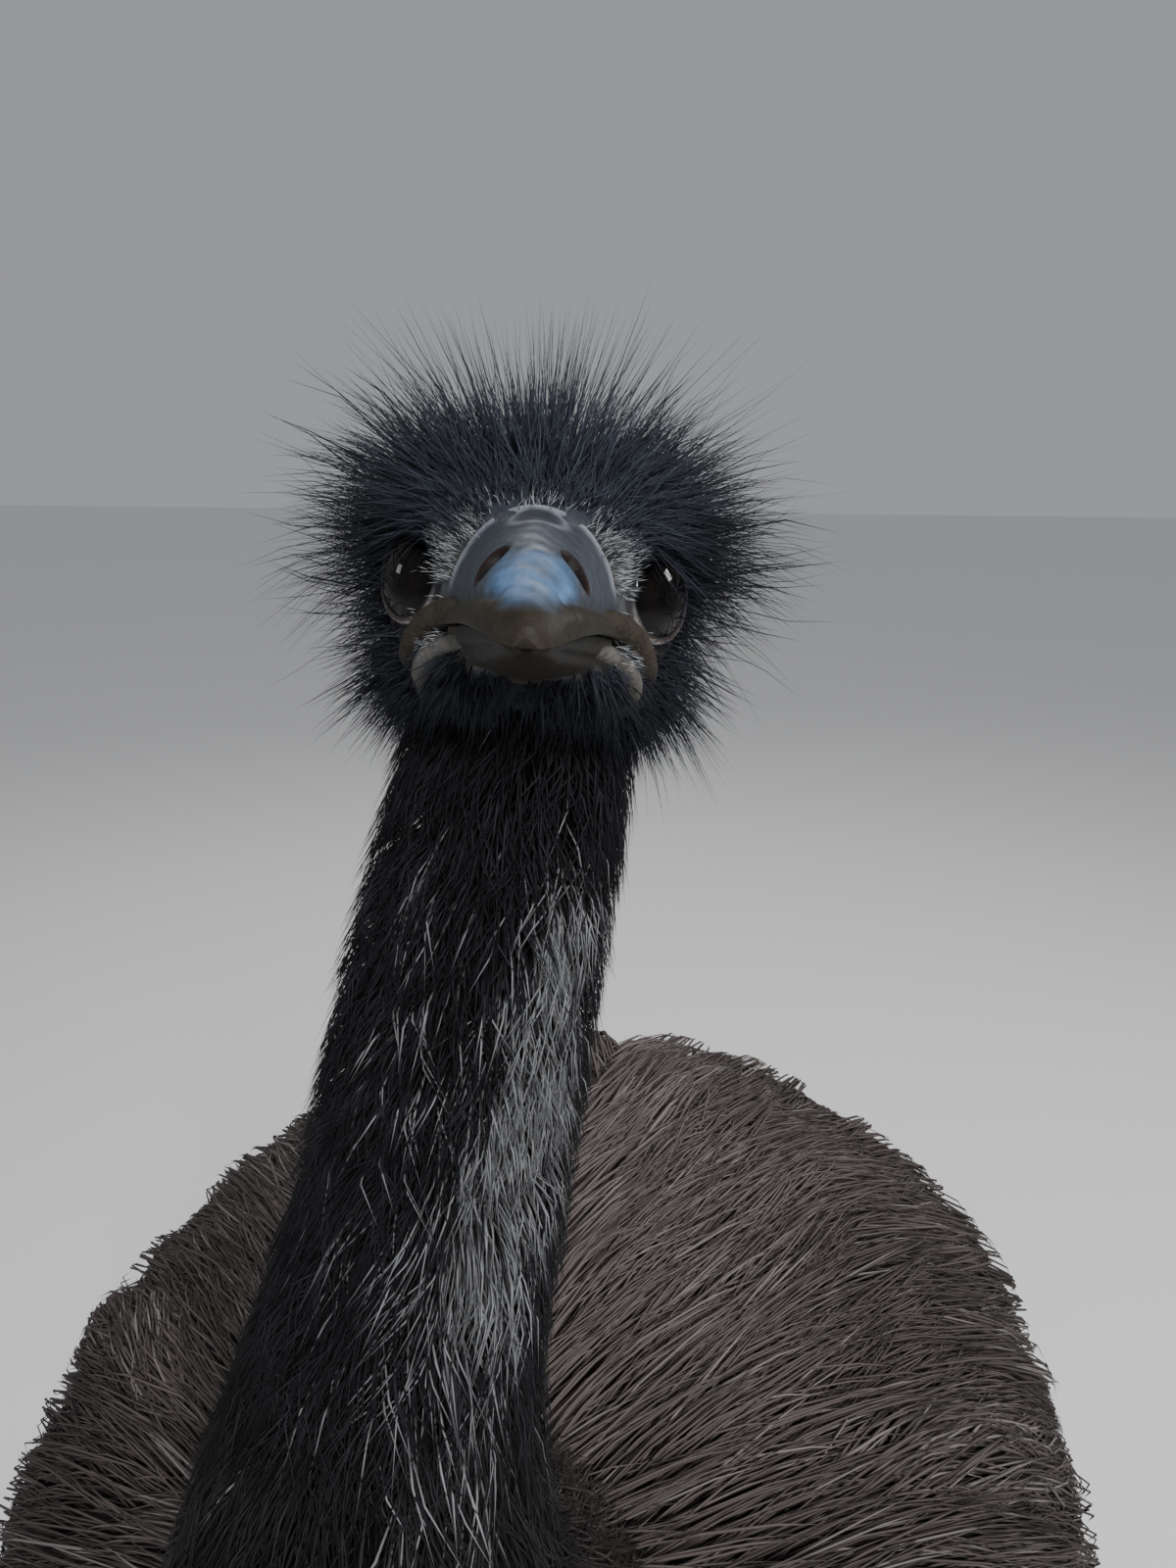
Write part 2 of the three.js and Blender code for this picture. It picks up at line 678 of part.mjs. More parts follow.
// The neck, in three lengths. Each hangs over the next one down.
const neckCurve = new THREE.CatmullRomCurve3(NECK_LINE.map(vector));
const neckForm = formAlong(neckCurve, (u) => {
  const core = rowAt(NECK_RADII, u)[0] - NECK_COAT;
  return { wide: core * NECK_FLATTEN, high: core };
});
const NECK_PLACES = steps(0, 1, 12);
const NECK_SIDES = 11;
const neckCut = (u) => planeThrough(neckCurve.getPoint(u), neckCurve.getTangent(u));
const neckCuts = {
  base: neckCut(NECK_PARTS.base),
  middle: neckCut(NECK_PARTS.middle),
};
const NECK_LOCK = { thick: 5, sink: 7, lift: NECK_COAT * 0.85, flick: 4 };
const NECK_ROWS = {
  upper: { from: 0.92, to: 0.72, rows: 3, around: 6, du: -0.13, width: 33 },
  middle: { from: 0.645, to: 0.54, rows: 2, around: 7, du: -0.14, width: 42 },
  base: { from: 0.445, to: 0.25, rows: 3, around: 7, du: -0.17, width: 58 },
};
const neckLocks = {};
for (const [part, rows] of Object.entries(NECK_ROWS)) {
  neckLocks[part] = ringLocks(neckForm, { ...NECK_LOCK, ...rows });
}

// The tail's parting plane leans forward at its top.
const tailCut = planeThrough(
  new THREE.Vector3(0, TAIL_START.y, TAIL_START.z),
  new THREE.Vector3(0, 1, TAIL_START.lean),
);
const bodyCoat = bodyLocks([
  { y: -235, tilt: 58, perSide: 2, from: 75, to: 180, length: 120, width: 90 },
  { y: -235, tilt: 30, perSide: 4, from: 52, to: 170, length: 150, width: 84 },
  { y: -225, perSide: 5, from: 28, length: 190 },
  { y: -140, perSide: 5 },
  { y: -50, perSide: 6 },
  { y: 40, perSide: 5 },
  { y: 130, perSide: 5, length: 200 },
  { y: 225, perSide: 5, length: 165, width: 84 },
  { y: 240, tilt: -32, perSide: 4, length: 140, width: 78 },
  { y: 240, tilt: -58, perSide: 2, from: 20, to: 120, length: 75, width: 60 },
]);
const onTail = ({ root }) => tailCut.normal.dot(root) > tailCut.offset;
const torsoLocks = bodyCoat.filter((spec) => !onTail(spec));
const tailLocks = bodyCoat.filter(onTail);

// The small wing lies on the flank under a few plumes of its own.
const WING_LINE = [
  { y: -232, down: 50, out: -15 },
  { y: -175, down: 62, out: 6 },
  { y: -115, down: 78, out: 7 },
  { y: -62, down: 93, out: 5 },
];
const WING = { root: 24, tip: 11, wide: 0.8, sides: 8, places: steps(0, 1, 4) };
const PLUMES = { count: 5, y: [-222, -85], down: [56, 90] };
const PLUME = { length: 150, width: 66, thick: 8, sink: -3, lift: BODY_COAT, flick: 6 };
function wingOf(side) {
  const line = WING_LINE.map(({ y, down, out }) => overBody(bodyRoot(side, { y }, down).root, out));
  const form = formAlong(new THREE.CatmullRomCurve3(line), (u) => {
    const high = lerp(WING.root, WING.tip, u);
    return { wide: high * WING.wide, high };
  });
  const plumes = steps(0, 1, PLUMES.count - 1).map((share) => {
    const { out, root } = bodyRoot(side, { y: lerp(...PLUMES.y, share) }, lerp(...PLUMES.down, share));
    const sizes = varied(PLUME);
    return { ...sizes, at: pathOnBody(root, lieAt(side, out), sizes.length) };
  });
  const core = form.solid(WING.places, WING.sides);
  const room = join([form.room(WING.places, WING.sides), roomFor(plumes)]);
  return { core, plumes, room };
}

// A tube whose front is stepped into overlapping scutes.
function scutedTube(form, from, to, count) {
  const angles = steps(0, 2 * Math.PI, LIMB_SIDES).slice(1).map((a) => a - Math.PI / LIMB_SIDES);
  const stepped = (u, raise) => angles.map((a) => form.point(u, a, Math.sin(a) > SCUTE.front ? raise : 0));
  const rings = [];
  for (let i = 0; i < count; i++) {
    const upper = lerp(from, to, i / count);
    const lower = lerp(from, to, (i + SCUTE.length) / count);
    rings.push(stepped(upper, SCUTE.rise * SCUTE.upper), stepped(lower, SCUTE.rise));
  }
  return loft([...rings, stepped(to, 0)]);
}

// One leg: where its joints stand, its feathered thigh and its bare shank.
function legOf(side) {
  const forward = side * STRIDE;
  const hip = new THREE.Vector3(side * LEG_TOP.side, LEG_TOP.y, LEG_TOP.z);
  const hockY = HOCK.y - forward * HOCK.stride;
  const hock = new THREE.Vector3(side * (FOOT_SPREAD - HOCK.inward), hockY, HOCK_HEIGHT);
  const foot = new THREE.Vector3(side * FOOT_SPREAD, FOOT_Y - forward, 0);
  const ankle = foot.clone().setZ(ANKLE_HEIGHT);
  const bulge = new THREE.Vector3(side * CALF.out, -CALF.ahead, 0);
  const calf = hip.clone().lerp(hock, CALF.share).add(bulge);

  const thighCurve = new THREE.CatmullRomCurve3([hip, calf, hock]);
  const thighForm = formAlong(thighCurve, (u) => {
    const [wide, deep] = rowAt(THIGH_RADII, u);
    const bare = clamp((u - THIGH_THINS.from) / (1 - THIGH_THINS.from), 0, 1);
    const coat = lerp(THIGH_COAT, THIGH_THINS.coat, bare);
    return { wide: wide - coat, high: deep - coat };
  });
  const shankForm = formAlong(new THREE.LineCurve3(hock, ankle), (u) => {
    const [wide, high] = rowAt(SHANK_RADII, u);
    return { wide, high };
  });
  const bisector = thighCurve.getTangent(1).add(ankle.clone().sub(hock).normalize());
  return { foot, thighForm, shankForm, hockCut: planeThrough(hock, bisector) };
}
const THIGH = { places: steps(0, 1, 5), sides: 9 };
const THIGH_LOCKS = {
  from: 0.5,
  to: 0.74,
  rows: 2,
  around: 6,
  du: 0.26,
  width: 52,
  thick: 6,
  sink: 7,
  lift: 9,
  flick: 2,
};

// One toe lies along its heading with a flat sole, and ends at its claw. Its root belongs to the foot.
function toeOf({ length, spreadDeg, width }, foot, side) {
  const heading = rad(spreadDeg) * side;
  const direction = new THREE.Vector3(Math.sin(heading), -Math.cos(heading), 0);
  const along = (distance, height) => foot.clone().addScaledVector(direction, distance).setZ(height);
  const clawLength = length * CLAW.share;
  const toeEnd = TOE_START + length - clawLength;
  const endWidth = width * TOE_TAPER;
  const section = (wide) => ({ wide, high: wide * TOE_SECTION.high, low: wide * TOE_SECTION.low });
  const tube = (from, to, widthAt) =>
    formAlong(new THREE.LineCurve3(from, to), (u) => section(widthAt(u)), TOE_SECTION.power);

  const rootStart = along(TOE_ROOT.from, width * TOE_ROOT.rise);
  const rootEnd = along(TOE_START + OVERRUN, width);
  const rootForm = tube(rootStart, rootEnd, (u) => width * lerp(TOE_ROOT.swell, 1, u));

  const toeForm = tube(along(TOE_START - OVERRUN, width), along(toeEnd + OVERRUN, endWidth), (u) => {
    const swell = TOE_PADS.swell * Math.sin(u * Math.PI * TOE_PADS.count) ** 2;
    return lerp(width, endWidth, u) * (1 + swell);
  });

  const clawRoot = along(toeEnd - OVERRUN, endWidth);
  const clawTip = along(toeEnd + clawLength, CLAW.tipHeight);
  const bend = clawRoot.clone().lerp(clawTip, CLAW.bendAt);
  bend.z += width * CLAW.bend;
  const clawForm = formAlong(new THREE.QuadraticBezierCurve3(clawRoot, bend, clawTip), (u) => {
    const reach = lerp(width * CLAW.root, CLAW.tip, u);
    return { wide: reach, high: reach, low: reach * CLAW.low };
  });
  const rootCut = planeThrough(along(TOE_START, 0), direction);
  const clawCut = planeThrough(along(toeEnd, 0), direction);
  return { rootForm, toeForm, clawForm, rootCut, clawCut };
}
const onFloor = (solid) => largest(solid.trimByPlane([0, 0, 1], 0));

// Colour and roughness of each look.
const LOOKS = {
  plumage: [0x2b2420, 0.92],
  neck: [0x1d1b1c, 0.9],
  crown: [0x141315, 0.9],
  bill: [0x33302e, 0.55],
  eye: [0x120c08, 0.12],
  skin: [0x5c6672, 0.7],
  scale: [0x3a3532, 0.75],
  claw: [0x1a1716, 0.45],
};

const emu = new THREE.Group();
const headGroup = new THREE.Group();
headGroup.position.copy(HEAD_PLACE);
headGroup.rotation.set(rad(-HEAD_LIFT_DEG), rad(HEAD_TILT_DEG), rad(HEAD_TURN_DEG), "ZXY");
headGroup.updateMatrix();
emu.add(headGroup);

function addNode(name, solid, look, group = emu) {
  const [color, roughness] = LOOKS[look];
  const material = new THREE.MeshStandardMaterial({ color, roughness, metalness: 0, flatShading: true });
  const mesh = new THREE.Mesh(geometryOf(solid), material);
  mesh.name = name;
  group.add(mesh);
}

// Head, bill, eyes and ears.
addNode("head", headSolid(), "crown", headGroup);
addNode("upper_bill", bill(UPPER_BILL, 1).subtract(join([nostril(1), nostril(-1)])), "bill", headGroup);
addNode("lower_bill", bill(LOWER_BILL, -1), "bill", headGroup);
for (const { side, name } of SIDES) {
  addNode(`eye_${name}`, eyeBall(side, EYE.radius), "eye", headGroup);
  addNode(`ear_${name}`, earCup(side), "skin", headGroup);
}

// Neck. Each length is cleared of the one above it, and the lowest ends on the body.
const bodyCore = bodyForm.solid(BODY_PLACES, BODY_SIDES);
const bodyRoom = bodyForm.room(BODY_PLACES, BODY_SIDES);
const headRoom = join([
  headForm.room(HEAD_PLACES, HEAD_SIDES),
  roomFor(crownLocks),
  ...SIDES.flatMap(({ side }) => [eyeBall(side, EYE.radius + EYE.lid + FREE), earSocket(side)]),
]).transform(headGroup.matrix.toArray());
const neckCore = neckForm.solid(NECK_PLACES, NECK_SIDES);
const neckCores = {
  upper: aheadOf(neckCore, neckCuts.middle),
  middle: aheadOf(behind(neckCore, neckCuts.middle), neckCuts.base),
  base: behind(neckCore, neckCuts.base),
};
const neckRooms = { upper: headRoom };
neckRooms.middle = roomFor(neckLocks.upper);
neckRooms.base = join([roomFor(neckLocks.middle), bodyRoom]);
for (const part of ["upper", "middle", "base"]) {
  const solid = withLocks(neckCores[part], neckLocks[part]);
  addNode(`neck_${part}`, largest(solid.subtract(neckRooms[part])), "neck");
}

// Wings, cleared of the body's core.
const wingRooms = [];
for (const { side, name } of SIDES) {
  const { core, plumes, room } = wingOf(side);
  addNode(`wing_${name}`, largest(withLocks(core, plumes).subtract(bodyRoom)), "plumage");
  wingRooms.push(room);
}

// Torso and tail. Their locks are cleared of the neck and wings that lie over them.
const neckTube = join([neckForm.room(NECK_PLACES, NECK_SIDES), roomFor(neckLocks.base)]);
const neckRoom = neckTube.subtract(bodyCore);
const torso = withLocks(behind(bodyCore, tailCut), torsoLocks);
addNode("torso", largest(torso.subtract(join([neckRoom, ...wingRooms]))), "plumage");
const rumpRoom = roomFor(torsoLocks.filter(({ root }) => root.y > 0));
const tail = aheadOf(withLocks(bodyCore, tailLocks), tailCut);
addNode("tail", largest(tail.subtract(rumpRoom)), "plumage");

// Legs and feet.
const underside = torsoLocks.filter(({ root }) => root.z < BELLY_LINE);
const bellyRoom = join([bodyRoom, roomFor(underside)]);
const ankleCut = planeThrough(new THREE.Vector3(0, 0, ANKLE_HEIGHT), new THREE.Vector3(0, 0, 1));
for (const { side, name } of SIDES) {
  const { foot, thighForm, shankForm, hockCut } = legOf(side);
  const thighLocks = ringLocks(thighForm, THIGH_LOCKS);
  const thighCore = behind(thighForm.solid(THIGH.places, THIGH.sides), hockCut);
  const thigh = withLocks(thighCore, thighLocks).subtract(bellyRoom);
  addNode(`thigh_${name}`, largest(thigh), "plumage");

  const knob = shankForm.solid(SHANK_KNOB, LIMB_SIDES);
  const scutes = scutedTube(shankForm, SHANK_SCUTES.from, 1, SHANK_SCUTES.count);
  const shank = aheadOf(aheadOf(join([knob, scutes]), hockCut), ankleCut);
  addNode(`shank_${name}`, largest(shank.subtract(roomFor(thighLocks))), "scale");

  const toes = TOES.map((toe) => ({ toe, ...toeOf(toe, foot, side) }));
  const padLine = new THREE.LineCurve3(foot.clone().setZ(ANKLE_HEIGHT + PAD.rise), foot);
  const padForm = formAlong(
    padLine,
    (u) => ({ wide: lerp(PAD.top[0], PAD.bottom[0], u), high: lerp(PAD.top[1], PAD.bottom[1], u) }),
    PAD.power,
  );
  const pad = behind(padForm.solid(PAD_PLACES, PAD_SIDES), ankleCut);
  const roots = toes.map(({ rootForm, rootCut }) => behind(rootForm.solid([0, 1], LIMB_SIDES), rootCut));
  addNode(`foot_${name}`, onFloor(join([pad, ...roots])), "scale");
  for (const { toe, toeForm, clawForm, rootCut, clawCut } of toes) {
    const scaly = behind(aheadOf(scutedTube(toeForm, 0, 1, toe.scutes), rootCut), clawCut);
    addNode(`toe_${toe.name}_${name}`, onFloor(scaly), "scale");
    const claw = aheadOf(clawForm.solid(steps(0, 1, 3), 6), clawCut);
    addNode(`claw_${toe.name}_${name}`, onFloor(claw), "claw");
  }
}

// The origin lies on the floor under the middle of the whole bird.
const middle = new THREE.Box3().setFromObject(emu).getCenter(new THREE.Vector3());
emu.position.set(-middle.x, -middle.y, 0);

export default emu;
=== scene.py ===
# A life-size emu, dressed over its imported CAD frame: skin, bill, eyes, scaly legs and a coat of plumage.
# Metres, +Z up. The bird faces -Y, its left side is +X, and it stands on the plane z = 0.
import math

import bpy
import numpy as np
from mathutils import Euler, Matrix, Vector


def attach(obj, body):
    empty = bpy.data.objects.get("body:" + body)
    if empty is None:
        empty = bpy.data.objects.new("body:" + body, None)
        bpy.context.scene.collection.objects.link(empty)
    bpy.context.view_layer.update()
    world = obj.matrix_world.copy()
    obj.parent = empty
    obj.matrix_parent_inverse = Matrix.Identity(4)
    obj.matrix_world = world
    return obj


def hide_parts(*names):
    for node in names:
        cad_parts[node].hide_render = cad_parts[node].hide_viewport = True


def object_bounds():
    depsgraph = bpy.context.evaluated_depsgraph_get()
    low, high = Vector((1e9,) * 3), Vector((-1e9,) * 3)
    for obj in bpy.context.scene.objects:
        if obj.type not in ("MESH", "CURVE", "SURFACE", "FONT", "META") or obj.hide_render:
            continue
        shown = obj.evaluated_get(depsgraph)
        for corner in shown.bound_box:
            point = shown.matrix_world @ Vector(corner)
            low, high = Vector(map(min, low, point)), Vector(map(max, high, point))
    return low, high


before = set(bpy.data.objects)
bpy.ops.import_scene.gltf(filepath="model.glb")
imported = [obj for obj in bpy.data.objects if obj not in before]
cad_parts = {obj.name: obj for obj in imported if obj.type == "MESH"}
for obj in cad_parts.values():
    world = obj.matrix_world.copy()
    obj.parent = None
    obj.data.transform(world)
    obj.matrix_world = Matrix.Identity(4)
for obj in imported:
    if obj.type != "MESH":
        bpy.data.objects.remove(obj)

cad_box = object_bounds()
SEED = 11
rng = np.random.default_rng(SEED)

# Driving sizes. They repeat the part's own, moved by SHIFT to its origin under the middle of the bird.
SHIFT = np.array([-0.000535, -0.005058, 0.0])
BACK_HEIGHT = 0.882
BELLY_HEIGHT = 0.508
BODY_HALF_WIDTH = 0.308
EYE_HEIGHT = 1.214
HOCK_HEIGHT = 0.405
FOOT_SPREAD = 0.114
FOOT_Y = -0.016
STRIDE = 0.034
BODY_COAT = 0.024
NECK_COAT = 0.013
THIGH_COAT, HOCK_COAT = 0.012, 0.002
COAT_THINS_FROM, COAT_THINS_OVER = 0.55, 0.45
SIDES = ((1, "left"), (-1, "right"))

# The body's outline: y, top as a share of the back's height, bottom as a share of the belly's, half width.
BODY_OUTLINE = [
    (-0.428, 0.79, 1.4, 0.04),
    (-0.418, 0.83, 1.3, 0.2),
    (-0.385, 0.885, 1.18, 0.42),
    (-0.320, 0.94, 1.085, 0.68),
    (-0.220, 0.985, 1.03, 0.9),
    (-0.110, 1.0, 1.0, 0.99),
    (0.0, 0.992, 0.99, 1.0),
    (0.110, 0.955, 0.99, 0.96),
    (0.205, 0.9, 1.0, 0.86),
    (0.285, 0.825, 1.01, 0.72),
    (0.350, 0.75, 1.025, 0.55),
    (0.405, 0.675, 1.035, 0.34),
    (0.440, 0.61, 1.05, 0.07),
]
BODY_SCALE = (BACK_HEIGHT, BELLY_HEIGHT, BODY_HALF_WIDTH)
BODY_FRONT, BODY_REAR = BODY_OUTLINE[0][0], BODY_OUTLINE[-1][0]
BODY_WAIST = 0.46
BODY_POWER, BACK_CREST = 2.2, 1.6
AXIS_FRONT, AXIS_REAR = -0.235, 0.240

# The neck's middle line and its half width with the plumage.
NECK_LINE = [
    (0.0, -0.235, 0.725),
    (0.002, -0.300, 0.778),
    (0.002, -0.350, 0.846),
    (0.002, -0.364, 0.912),
    (0.009, -0.352, 0.977),
    (0.021, -0.338, 1.041),
    (0.031, -0.328, 1.101),
    (0.041, -0.313, 1.158),
    (0.046, -0.301, 1.196),
]
NECK_RADII = [
    (0.0, 0.108),
    (0.2, 0.088),
    (0.34, 0.069),
    (0.48, 0.053),
    (0.62, 0.045),
    (0.78, 0.041),
    (0.9, 0.038),
    (1.0, 0.034),
]
NECK_FLATTEN = 0.95

# The head's place and pose, and the skull's outline in its own frame: y, top, bottom, half width.
HEAD_PLACE = np.array([0.0505, -0.3245, EYE_HEIGHT])
HEAD_TURN_DEG, HEAD_LIFT_DEG, HEAD_TILT_DEG = 12.5, 11.6, 5.0
HEAD_OUTLINE = [
    (0.055, 0.002, -0.008, 0.005),
    (0.052, 0.010, -0.016, 0.013),
    (0.042, 0.020, -0.025, 0.0225),
    (0.025, 0.027, -0.031, 0.029),
    (0.008, 0.029, -0.033, 0.031),
    (-0.008, 0.026, -0.032, 0.031),
    (-0.020, 0.021, -0.029, 0.028),
    (-0.030, 0.0155, -0.025, 0.0205),
    (-0.040, 0.009, -0.0215, 0.0150),
    (-0.048, 0.003, -0.019, 0.0110),
]
HEAD_SCALE = (1, 1, 1)
HEAD_WAIST = 0.52
HEAD_POWER, JAW_POWER = 2.15, 4.4

# The bill's outlines: y, ridge or chin, mouth line, half width.
UPPER_BILL = [
    (-0.030, 0.0152, -0.013, 0.0194),
    (-0.041, 0.0106, -0.013, 0.017),
    (-0.053, 0.0048, -0.0135, 0.0142),
    (-0.065, -0.0012, -0.0146, 0.011),
    (-0.074, -0.007, -0.0162, 0.008),
    (-0.0795, -0.012, -0.0178, 0.0046),
    (-0.0815, -0.015, -0.0184, 0.0016),
]
LOWER_BILL = [
    (-0.030, -0.0246, -0.013, 0.0184),
    (-0.042, -0.0236, -0.013, 0.0154),
    (-0.055, -0.022, -0.0137, 0.012),
    (-0.066, -0.0208, -0.0148, 0.0086),
    (-0.073, -0.020, -0.0162, 0.0054),
    (-0.0765, -0.019, -0.0174, 0.0016),
]
BILL_ROOT_GAP, BILL_SEAM = 0.002, 0.00015
BILL_ARCH = 0.9
PALATE_POINTS = 20

# The mouth behind the bill: the middle lines of its upper and lower lip, each point with the lip's radius.
UPPER_LIP = np.array(
    [
        (0.0135, -0.0460, -0.0100, 0.0014),
        (0.0158, -0.0380, -0.0098, 0.0026),
        (0.0193, -0.0300, -0.0098, 0.0031),
        (0.0245, -0.0222, -0.0122, 0.0032),
        (0.0283, -0.0152, -0.0166, 0.0029),
        (0.0301, -0.0085, -0.0208, 0.0023),
        (0.0290, -0.0010, -0.0240, 0.0010),
    ]
)
LOWER_LIP = np.array(
    [
        (0.0130, -0.0380, -0.0160, 0.0014),
        (0.0168, -0.0310, -0.0163, 0.0022),
        (0.0212, -0.0240, -0.0182, 0.0026),
        (0.0248, -0.0180, -0.0216, 0.0028),
        (0.0262, -0.0125, -0.0254, 0.0023),
        (0.0248, -0.0060, -0.0282, 0.0010),
    ]
)

# Eyes and lids. Angles are degrees from the eye's axis: where the lids open, their fold, and their last edge.
EYE_RADIUS = 0.016
EYE_SIDE, EYE_BACK = 0.0242, 0.0105
EYE_AXIS_DEG = 48
LID_OPENING_DEG, LID_CORNER_DEG, LID_FLAT_DEG, LID_END_DEG = 40.5, 2.5, 52, 84
LID_GAP, LID_THICKNESS, LID_SINK = 0.0003, 0.0008, 0.0014
SOCKET_DEPTH, SOCKET_RISE = 0.003, 0.0022
LID_CREASES = ((-0.0010, LID_FLAT_DEG, 2.4), (-0.0006, LID_FLAT_DEG + 8, 2.0))
PUPIL_DEG, IRIS_DEG = (18, 21), (30, 38)

# Ears: the place of the opening, the rim's rise, radius and width, and the radii of the hole's edge.
EAR_SIDE, EAR_BACK, EAR_DOWN = 0.0262, 0.033, 0.012
EAR_RIM = (0.0016, 0.0058, 0.0014)
EAR_HOLE, EAR_DEPTH = (0.0048, 0.0028), 0.0045

# Swellings and hollows of the head: rise, y, z, width, the stretch along y and z, and where it starts and is
# full to each side. Wrinkles, blotches and grain are layers of height, scale and phase.
HEAD_SWELLINGS = (
    (0.0022, -0.001, 0.0185, 0.006, 1.8, 1.0, 0.008, 0.02),
    (-0.0022, -0.020, 0.001, 0.0085, 1.0, 1 / 0.9, 0.006, 0.014),
    (0.0042, 0.003, -0.021, 0.013, 1.5, 1.0, 0.012, 0.022),
)
HEAD_WRINKLES = ((0.0003, 0.0022, 0.0), (0.0003, 0.006, 3.0))
HEAD_BLOTCHES = ((0.22, 0.003, 1.0), (0.18, 0.0012, 5.0))

# Nostrils, and the bill's ridges and grooves, each with its rise, place and width.
NOSTRIL_SIDE, NOSTRIL_Y, NOSTRIL_TURN_DEG = 0.0086, -0.0555, 24
NOSTRIL_WIDE, NOSTRIL_LONG, NOSTRIL_DEPTH = 0.0031, 0.0037, 0.0080
NOSTRIL_RIM = (0.0004, 1.3, 0.25)
NOSTRIL_GROOVE = (-0.0009, 0.0, 0.0013)
CERE_Y = -0.0305
UPPER_CERE, LOWER_CERE = (0.0009, CERE_Y, 0.0016), (0.0007, CERE_Y, 0.0016)
UPPER_KEEL = (0.0009, 0.0, 0.004)
UPPER_NAIL = (-0.0006, -0.0705, 0.0012)
UPPER_EDGE, UPPER_STEP = (0.0012, -0.0118, 0.0022), (-0.0007, -0.0078, 0.0012)
LOWER_GROOVE = (-0.0008, -0.0185, 0.0012)
UPPER_GRAIN = ((0.00010, 0.0040, 0.0), (0.00004, 0.0012, 2.0))
LOWER_GRAIN = ((0.00014, 0.0025, 0.0),)
UPPER_BLOTCHES = ((0.22, 0.0018, 2.0), (0.12, 0.0007, 1.0))
LOWER_BLOTCHES = ((0.2, 0.0018, 2.0),)

# Legs: radii along the limb as (u, across) or (u, across, fore and aft), and toes as name, length, heading
# in degrees and half width. Scales are rise, and waves round and along the limb.
LEG_TOP = (0.098, -0.074, 0.640)
HOCK_Y, HOCK_INSET = 0.050, 0.006
HOCK_STRIDE = 0.55
CALF_SHARE, CALF_OFFSET = 0.45, (0.006, -0.014)
ANKLE_HEIGHT = 0.044
SHANK_LAP, PAD_LAP = 0.012, 0.004
THIGH_RADII = [
    (0.0, 0.080, 0.102),
    (0.3, 0.078, 0.096),
    (0.55, 0.060, 0.072),
    (0.8, 0.037, 0.043),
    (1.0, 0.023, 0.027),
]
SHANK_RADII = [
    (0.0, 0.021, 0.025),
    (0.05, 0.023, 0.027),
    (0.13, 0.016, 0.019),
    (0.25, 0.0135, 0.016),
    (0.75, 0.0135, 0.015),
    (0.93, 0.017, 0.016),
    (1.0, 0.020, 0.018),
]
PAD_RADII = [(0.0, 0.018, 0.0165), (1.0, 0.0245, 0.022)]
TUBE_POWER, PAD_POWER, TOE_POWER = 2.1, 2.4, 2.3
SHANK_SCUTES, SHANK_SCUTE_RISE, SHANK_INSET = 30, 0.0013, 0.0006
SHANK_SCALES, PAD_SCALES = (0.0003, 11, 300), (0.0004, 9, 40)
PAD_INSET = 0.0004
TOE_START, TOE_BEND = 0.052, 0.35
TOES = [
    ("middle", 0.114, 0, 0.0125),
    ("inner", 0.072, -31, 0.0105),
    ("outer", 0.068, 30, 0.0105),
]
TOE_ROOT, TOE_TAPER = 1.06, 0.72
TOE_KNUCKLE, TOE_SOLE, TOE_FLANK = 0.07, 1.2, 0.98
TOE_SCUTE, TOE_SCUTE_RISE, TOE_INSET = 0.0075, 0.0011, 0.0005
CLAW_SHARE, CLAW_WIDTH, CLAW_ARCH, CLAW_TIP = 0.24, 0.6, 0.22, 0.0006
LEG_BLOTCHES = ((0.3, 0.006, 0.0), (0.2, 0.0017, 4.0))

# Wings: along the side, each point's y, degrees down from the back's middle and height over the body's core.
WING_LINE = [(-0.232, 50, -0.026), (-0.175, 62, -0.004), (-0.115, 78, 0.003), (-0.062, 93, 0.0)]
WING_RADII = [(0.0, 0.019, 0.024), (1.0, 0.009, 0.011)]

# The skins: how far they lie in, how the rear draws in, the voxels that fuse them, and their smoothing.
SKIN_INSET = 0.002
REAR_START, REAR_INSET = 0.33, 0.034
TRUNK_VOXEL, TRUNK_RELAX = 0.0068, 4
FACE_VOXEL, FACE_RELAX = 0.00075, 2
LEG_VOXEL, LEG_RELAX = 0.0016, 1
SKIN_STEP = 4

# How finely the forms are drawn: rows of a form's table, and rings along and points round its surface.
TUBE_ROWS, BODY_ROWS, HEAD_ROWS, LIP_ROWS = 300, 500, 400, 120
BODY_MESH, NECK_MESH, THIGH_MESH, WING_MESH = (120, 96), (120, 64), (60, 48), (40, 24)
HEAD_MESH, LID_MESH, LIP_MESH, EYE_MESH = (220, 260), (60, 160), (90, 28), (90, 96)
BILL_MESH, SHANK_MESH, PAD_MESH, TOE_MESH, CLAW_MESH = (170, 110), (420, 72), (60, 60), (200, 48), (40, 28)

# How far a form may reach from a point within it, and how many halvings find its surface.
BODY_REACH, SKULL_REACH = (0.5, 18), (0.08, 20)

# The coat. Each strand is a closed, three-sided, tapered sliver over two or three rings of points and a tip.
# By count of rings: steps along the strand, widths of the rings, and the places of the colours.
STEPS = {2: (0.0, 0.5, 1.0), 3: (0.0, 0.36, 0.7, 1.0)}
WIDTHS = {2: (0.8, 0.85), 3: (0.75, 1.0, 0.7)}
SHARES = {2: (0.0, 0.5, 1.0), 3: (0.0, 0.4, 0.75, 1.0)}
STRAND_RIDGE = 0.8
ARCH_TURN = 1.75
BOX_MARGIN = np.array([0.002, 0.002, 0.0005])
CORE_MARGIN, NECK_FOOT_MARGIN = -0.002, -0.026

